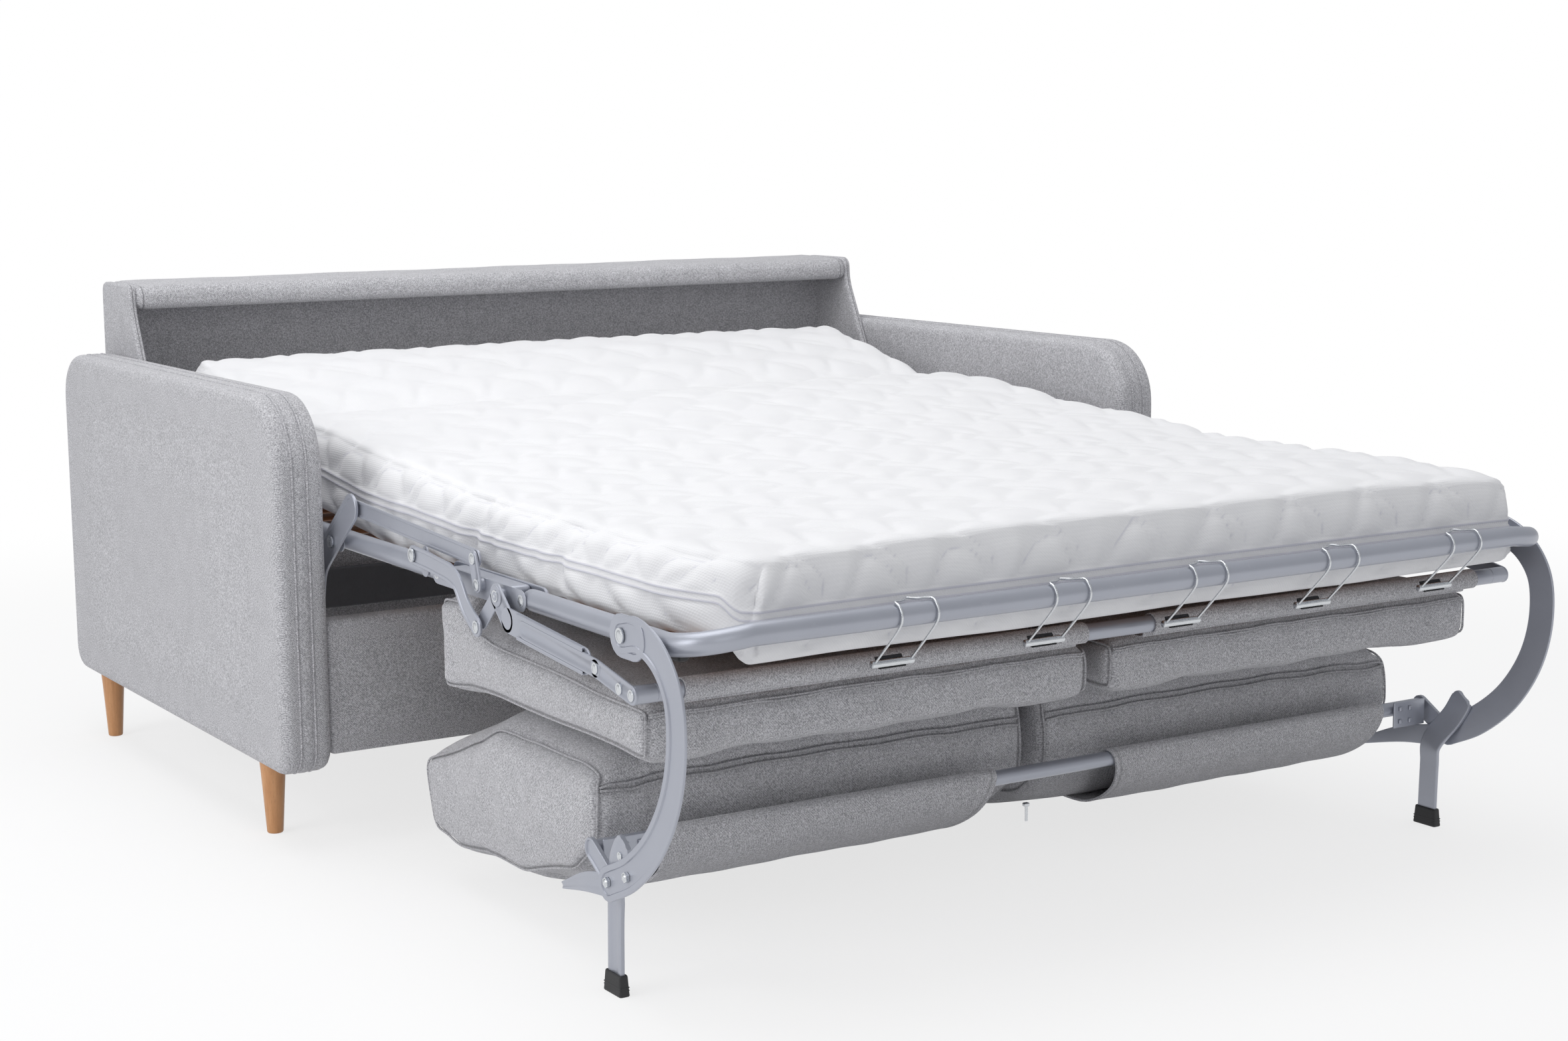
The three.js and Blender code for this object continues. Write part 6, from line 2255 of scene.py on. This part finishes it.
def cushion_pair(kind: str, body: str, outline: Sequence[Place], **sizes: object) -> None:
    """Builds the right and the left cushion of one kind.

    Args:
        kind: seat or back.
        body: the body that they ride on.
        outline: their side view.
        sizes: the other fields of a cushion.
    """
    for side in ("right", "left"):
        node = f"{kind}_cushion_{side}"
        name = f"{kind}_cushion_cover_{side}"
        Cushion(name, node, body, outline, mirrored=side == "left", **sizes).make()


@dataclass
class SeatCushions:
    """The two seat cushions, upside down under the foot of the bed."""

    outline: tuple[Place, ...] = (
        (-1070.0, 314.0),
        (-458.0, 314.0),
        (-458.0, 457.0),
        (-542.0, 457.0),
        (-549.0, 411.0),
        (-1070.0, 393.0),
    )
    zip_edges: tuple[Place, Place] = ((-1078.0, 388.0), (-1078.0, 381.0))

    def build(self) -> None:
        """Builds both cushions."""
        cushion_pair("seat", "seat_frame", self.outline, outer=745.0, corner=17.0, zip_edges=self.zip_edges)


@dataclass
class BackCushions:
    """The two back cushions on the floor side, with the flaps that hold them to their tube."""

    low: Place = (-920.0, 64.0)
    high: Place = (-352.0, 307.0)
    shares: tuple[Place, ...] = (
        (0.0, 0.44),
        (0.12, 0.22),
        (0.4, 0.04),
        (0.78, 0.0),
        (0.95, 0.06),
        (1.0, 0.51),
        (0.58, 0.97),
        (0.02, 1.0),
        (0.0, 0.7),
    )
    zip_edges: tuple[Place, Place] = ((-930.0, 262.0), (-930.0, 253.0))
    flap_inner: float = 105.0
    flap_outer: float = 655.0
    inner_draw: float = 34.0
    outer_draw: float = 22.0

    def flap(self) -> Shape:
        """The right flap, wrapped round the tube and drawn under the cushion.

        Returns:
            The closed shape.
        """
        y, z = CUSHION_TUBE
        wrap = 11.0 + 2.4
        route = [(y + wrap * 0.9, z + wrap * 0.62), (y, z + wrap), (y - wrap * 0.72, z + wrap * 0.72), (y - wrap, z)]
        route += [(y - wrap * 0.56, z - wrap * 1.76), (y + wrap * 1.3, z - wrap * 4.0)]
        route += [(y + wrap * 6.1, z - wrap * 6.45), (y + wrap * 12.6, z - wrap * 6.7)]
        outline = strip_outline(route, 3.2, 6)

        def down(heights: np.ndarray) -> np.ndarray:
            """How far below the tube the cloth hangs, from 0 to 1."""
            return np.clip((z + wrap - heights) / 120, 0, 1)

        fall = down(outline[:, 1])
        inner, outer = self.flap_inner + self.inner_draw * fall, self.flap_outer - self.outer_draw * fall
        rings = []
        for share in np.linspace(0, 1, 120):
            x = inner + (outer - inner) * share
            wave = (1.3 * np.sin(x * 0.028 + 0.4) + 0.7 * np.sin(x * 0.075)) * fall
            rings.append(np.column_stack([x, outline[:, 0] - wave, outline[:, 1] - 0.3 * wave]))
        shape = skin(rings)
        hem = np.minimum(shape.points[:, 0] - self.flap_inner - self.inner_draw * down(shape.points[:, 2]), 60)
        shape.seam = np.exp(-(((hem - 9.0) / 2.2) ** 2)) * 0.8
        return shape

    def puller(self) -> None:
        """Builds the zip puller that hangs between the cushions."""
        slider = rounded_box((-4.6, -897.0, 118.0), (4.6, -889.0, 124.0), 2.0, 4.0)
        tab = rounded_box((-2.6, -895.0, 96.0), (2.6, -892.8, 119.0), 1.0, 6.0)
        add_piece("zip_puller", slider.with_shape(tab), Keeping("back_frame", ZINC, "zinc"))

    def build(self) -> None:
        """Builds both cushions, their flaps and the zip puller."""
        outline = between(self.low, self.high, self.shares)
        sizes = {"outer": 736.0, "corner": 22.0, "crown": 8.0, "shoulder": 44.0, "zip_edges": self.zip_edges}
        cushion_pair("back", "back_frame", outline, **sizes)
        for obj in add_pair("back_cushion_flap", self.flap(), twill("back_frame")):
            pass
        self.puller()


# Studio


@dataclass(frozen=True)
class Lamp:
    """A soft square lamp: where it stands, what it points at, its side in metres and its power in watts."""

    name: str
    place: Point
    aim: Point
    size: float
    power: float

    def build(self) -> None:
        """Adds the lamp to the scene."""
        data = bpy.data.lights.new(self.name, "AREA")
        data.size = self.size
        data.energy = self.power
        obj = new_object(self.name, data)
        obj.location = self.place
        obj.rotation_euler = (Vector(self.aim) - Vector(self.place)).to_track_quat("-Z", "Y").to_euler()


@dataclass
class Studio:
    """A white floor, soft lamps and the camera of the photograph."""

    camera_place: Point = (-2.2495, -3.6337, 1.10)
    yaw: float = 32.25
    pitch: float = 8.62
    roll: float = -0.4435
    lens: float = 58.86
    sensor: float = 36.0
    world: float = 0.54
    floor_half: float = 14.0
    lamps: tuple[Lamp, ...] = (
        Lamp("top_lamp", (-0.6, 0.2, 3.6), (0.0, -0.1, 0.3), 3.2, 68.0),
        Lamp("front_lamp", (-1.6, -4.4, 2.2), (0.0, -0.4, 0.4), 2.4, 12.0),
        Lamp("left_lamp", (-4.2, -0.4, 1.9), (-0.3, -0.3, 0.35), 2.2, 46.0),
    )

    def camera(self) -> None:
        """Sets the camera."""
        yaw, pitch, roll = (math.radians(a) for a in (self.yaw, self.pitch, self.roll))
        ahead = Vector((math.sin(yaw) * math.cos(pitch), math.cos(yaw) * math.cos(pitch), -math.sin(pitch)))
        right = Vector((math.cos(yaw), -math.sin(yaw), 0.0))
        up = right.cross(ahead)
        right, up = right * math.cos(roll) + up * math.sin(roll), up * math.cos(roll) - right * math.sin(roll)
        data = bpy.data.cameras.new("photo_camera")
        data.sensor_width = self.sensor
        data.sensor_fit = "HORIZONTAL"
        data.lens = self.lens
        obj = new_object("photo_camera", data)
        turn = Matrix((right, up, -ahead)).transposed().to_4x4()
        obj.matrix_world = Matrix.Translation(self.camera_place) @ turn
        bpy.context.scene.camera = obj

    def floor(self) -> None:
        """Lays the floor, which keeps the shadow and fades to white."""
        mesh = bpy.data.meshes.new("studio_floor")
        corners = [(*corner, 0.0) for corner in rectangle((0.0, 0.0), 2 * self.floor_half, 2 * self.floor_half)]
        mesh.from_pydata(corners, [], [(0, 1, 2, 3)])
        p = Paint("studio_floor")
        p.finish(p.mix(p.cloud(3, 2), (0.86, 0.86, 0.865), (0.89, 0.89, 0.895)), 0.9, Specular_IOR_Level=0.1)
        glow = p.node("ShaderNodeEmission", {}, {"Color": (1.0, 1.0, 1.0), "Strength": 1.0}, "Emission")
        camera, glossy = (p.node("ShaderNodeLightPath", {}, {}, f"Is {ray} Ray") for ray in ("Camera", "Glossy"))
        far = p.node("ShaderNodeVectorMath", {"operation": "LENGTH"}, {0: p.where()}, "Value")
        share = (0.74 + far.above(1.6, 3.6) * 0.26) * (camera + glossy)
        both = p.node("ShaderNodeMixShader", {}, {0: share, 1: p.shader.outputs[0], 2: glow})
        feed(p.tree, p.tree.nodes["Material Output"].inputs["Surface"], both)
        mesh.materials.append(p.material)
        new_object("studio_floor", mesh)

    def sky(self) -> None:
        """Lights the room evenly and shows white behind the object."""
        world = bpy.context.scene.world or bpy.data.worlds.new("studio")
        bpy.context.scene.world = world
        world.use_nodes = True
        tree = world.node_tree
        plain = tree.nodes["Background"]
        feed(tree, plain.inputs["Color"], (0.97, 0.98, 1.0))
        feed(tree, plain.inputs["Strength"], self.world)
        seen = add_node(tree, "ShaderNodeBackground", {}, {"Color": (1.0, 1.0, 1.0)})
        camera = add_node(tree, "ShaderNodeLightPath", {}, {}, "Is Camera Ray")
        mixed = add_node(tree, "ShaderNodeMixShader", {}, {0: camera, 1: plain.outputs[0], 2: seen})
        feed(tree, tree.nodes["World Output"].inputs["Surface"], mixed)

    def build(self) -> None:
        """Sets up the whole studio."""
        bpy.context.scene.view_settings.view_transform = "Standard"
        self.camera()
        self.floor()
        self.sky()
        for lamp in self.lamps:
            lamp.build()


def dress_left_over() -> None:
    """Paints every CAD node that still shows."""
    finishes = {"upholstery": TWILL, "lining": LINING, "beech": SLAT_BEECH, "zinc": ZINC, "plastic": PLASTIC}
    for name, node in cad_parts.items():
        if node.hide_render:
            continue
        kind = next((f for key, f in finishes.items() if key in name), STEEL)
        for material_slot in node.material_slots:
            material_slot.material = kind.material()
        LOG.info("kept node %s with %s", name, kind.name)


def main() -> None:
    """Builds the sofa bed and hands the scene over."""
    frames = (SofaBody(), Mechanism(), BedFrame(), SlatDeck(), MattressClips(), SeatFrame(), BackFrame())
    for part in (Studio(), *frames, SeatCushions(), BackCushions(), Mattress()):
        LOG.info("building %s", type(part).__name__)
        part.build()
    dress_left_over()


if __name__ == "__main__":
    main()
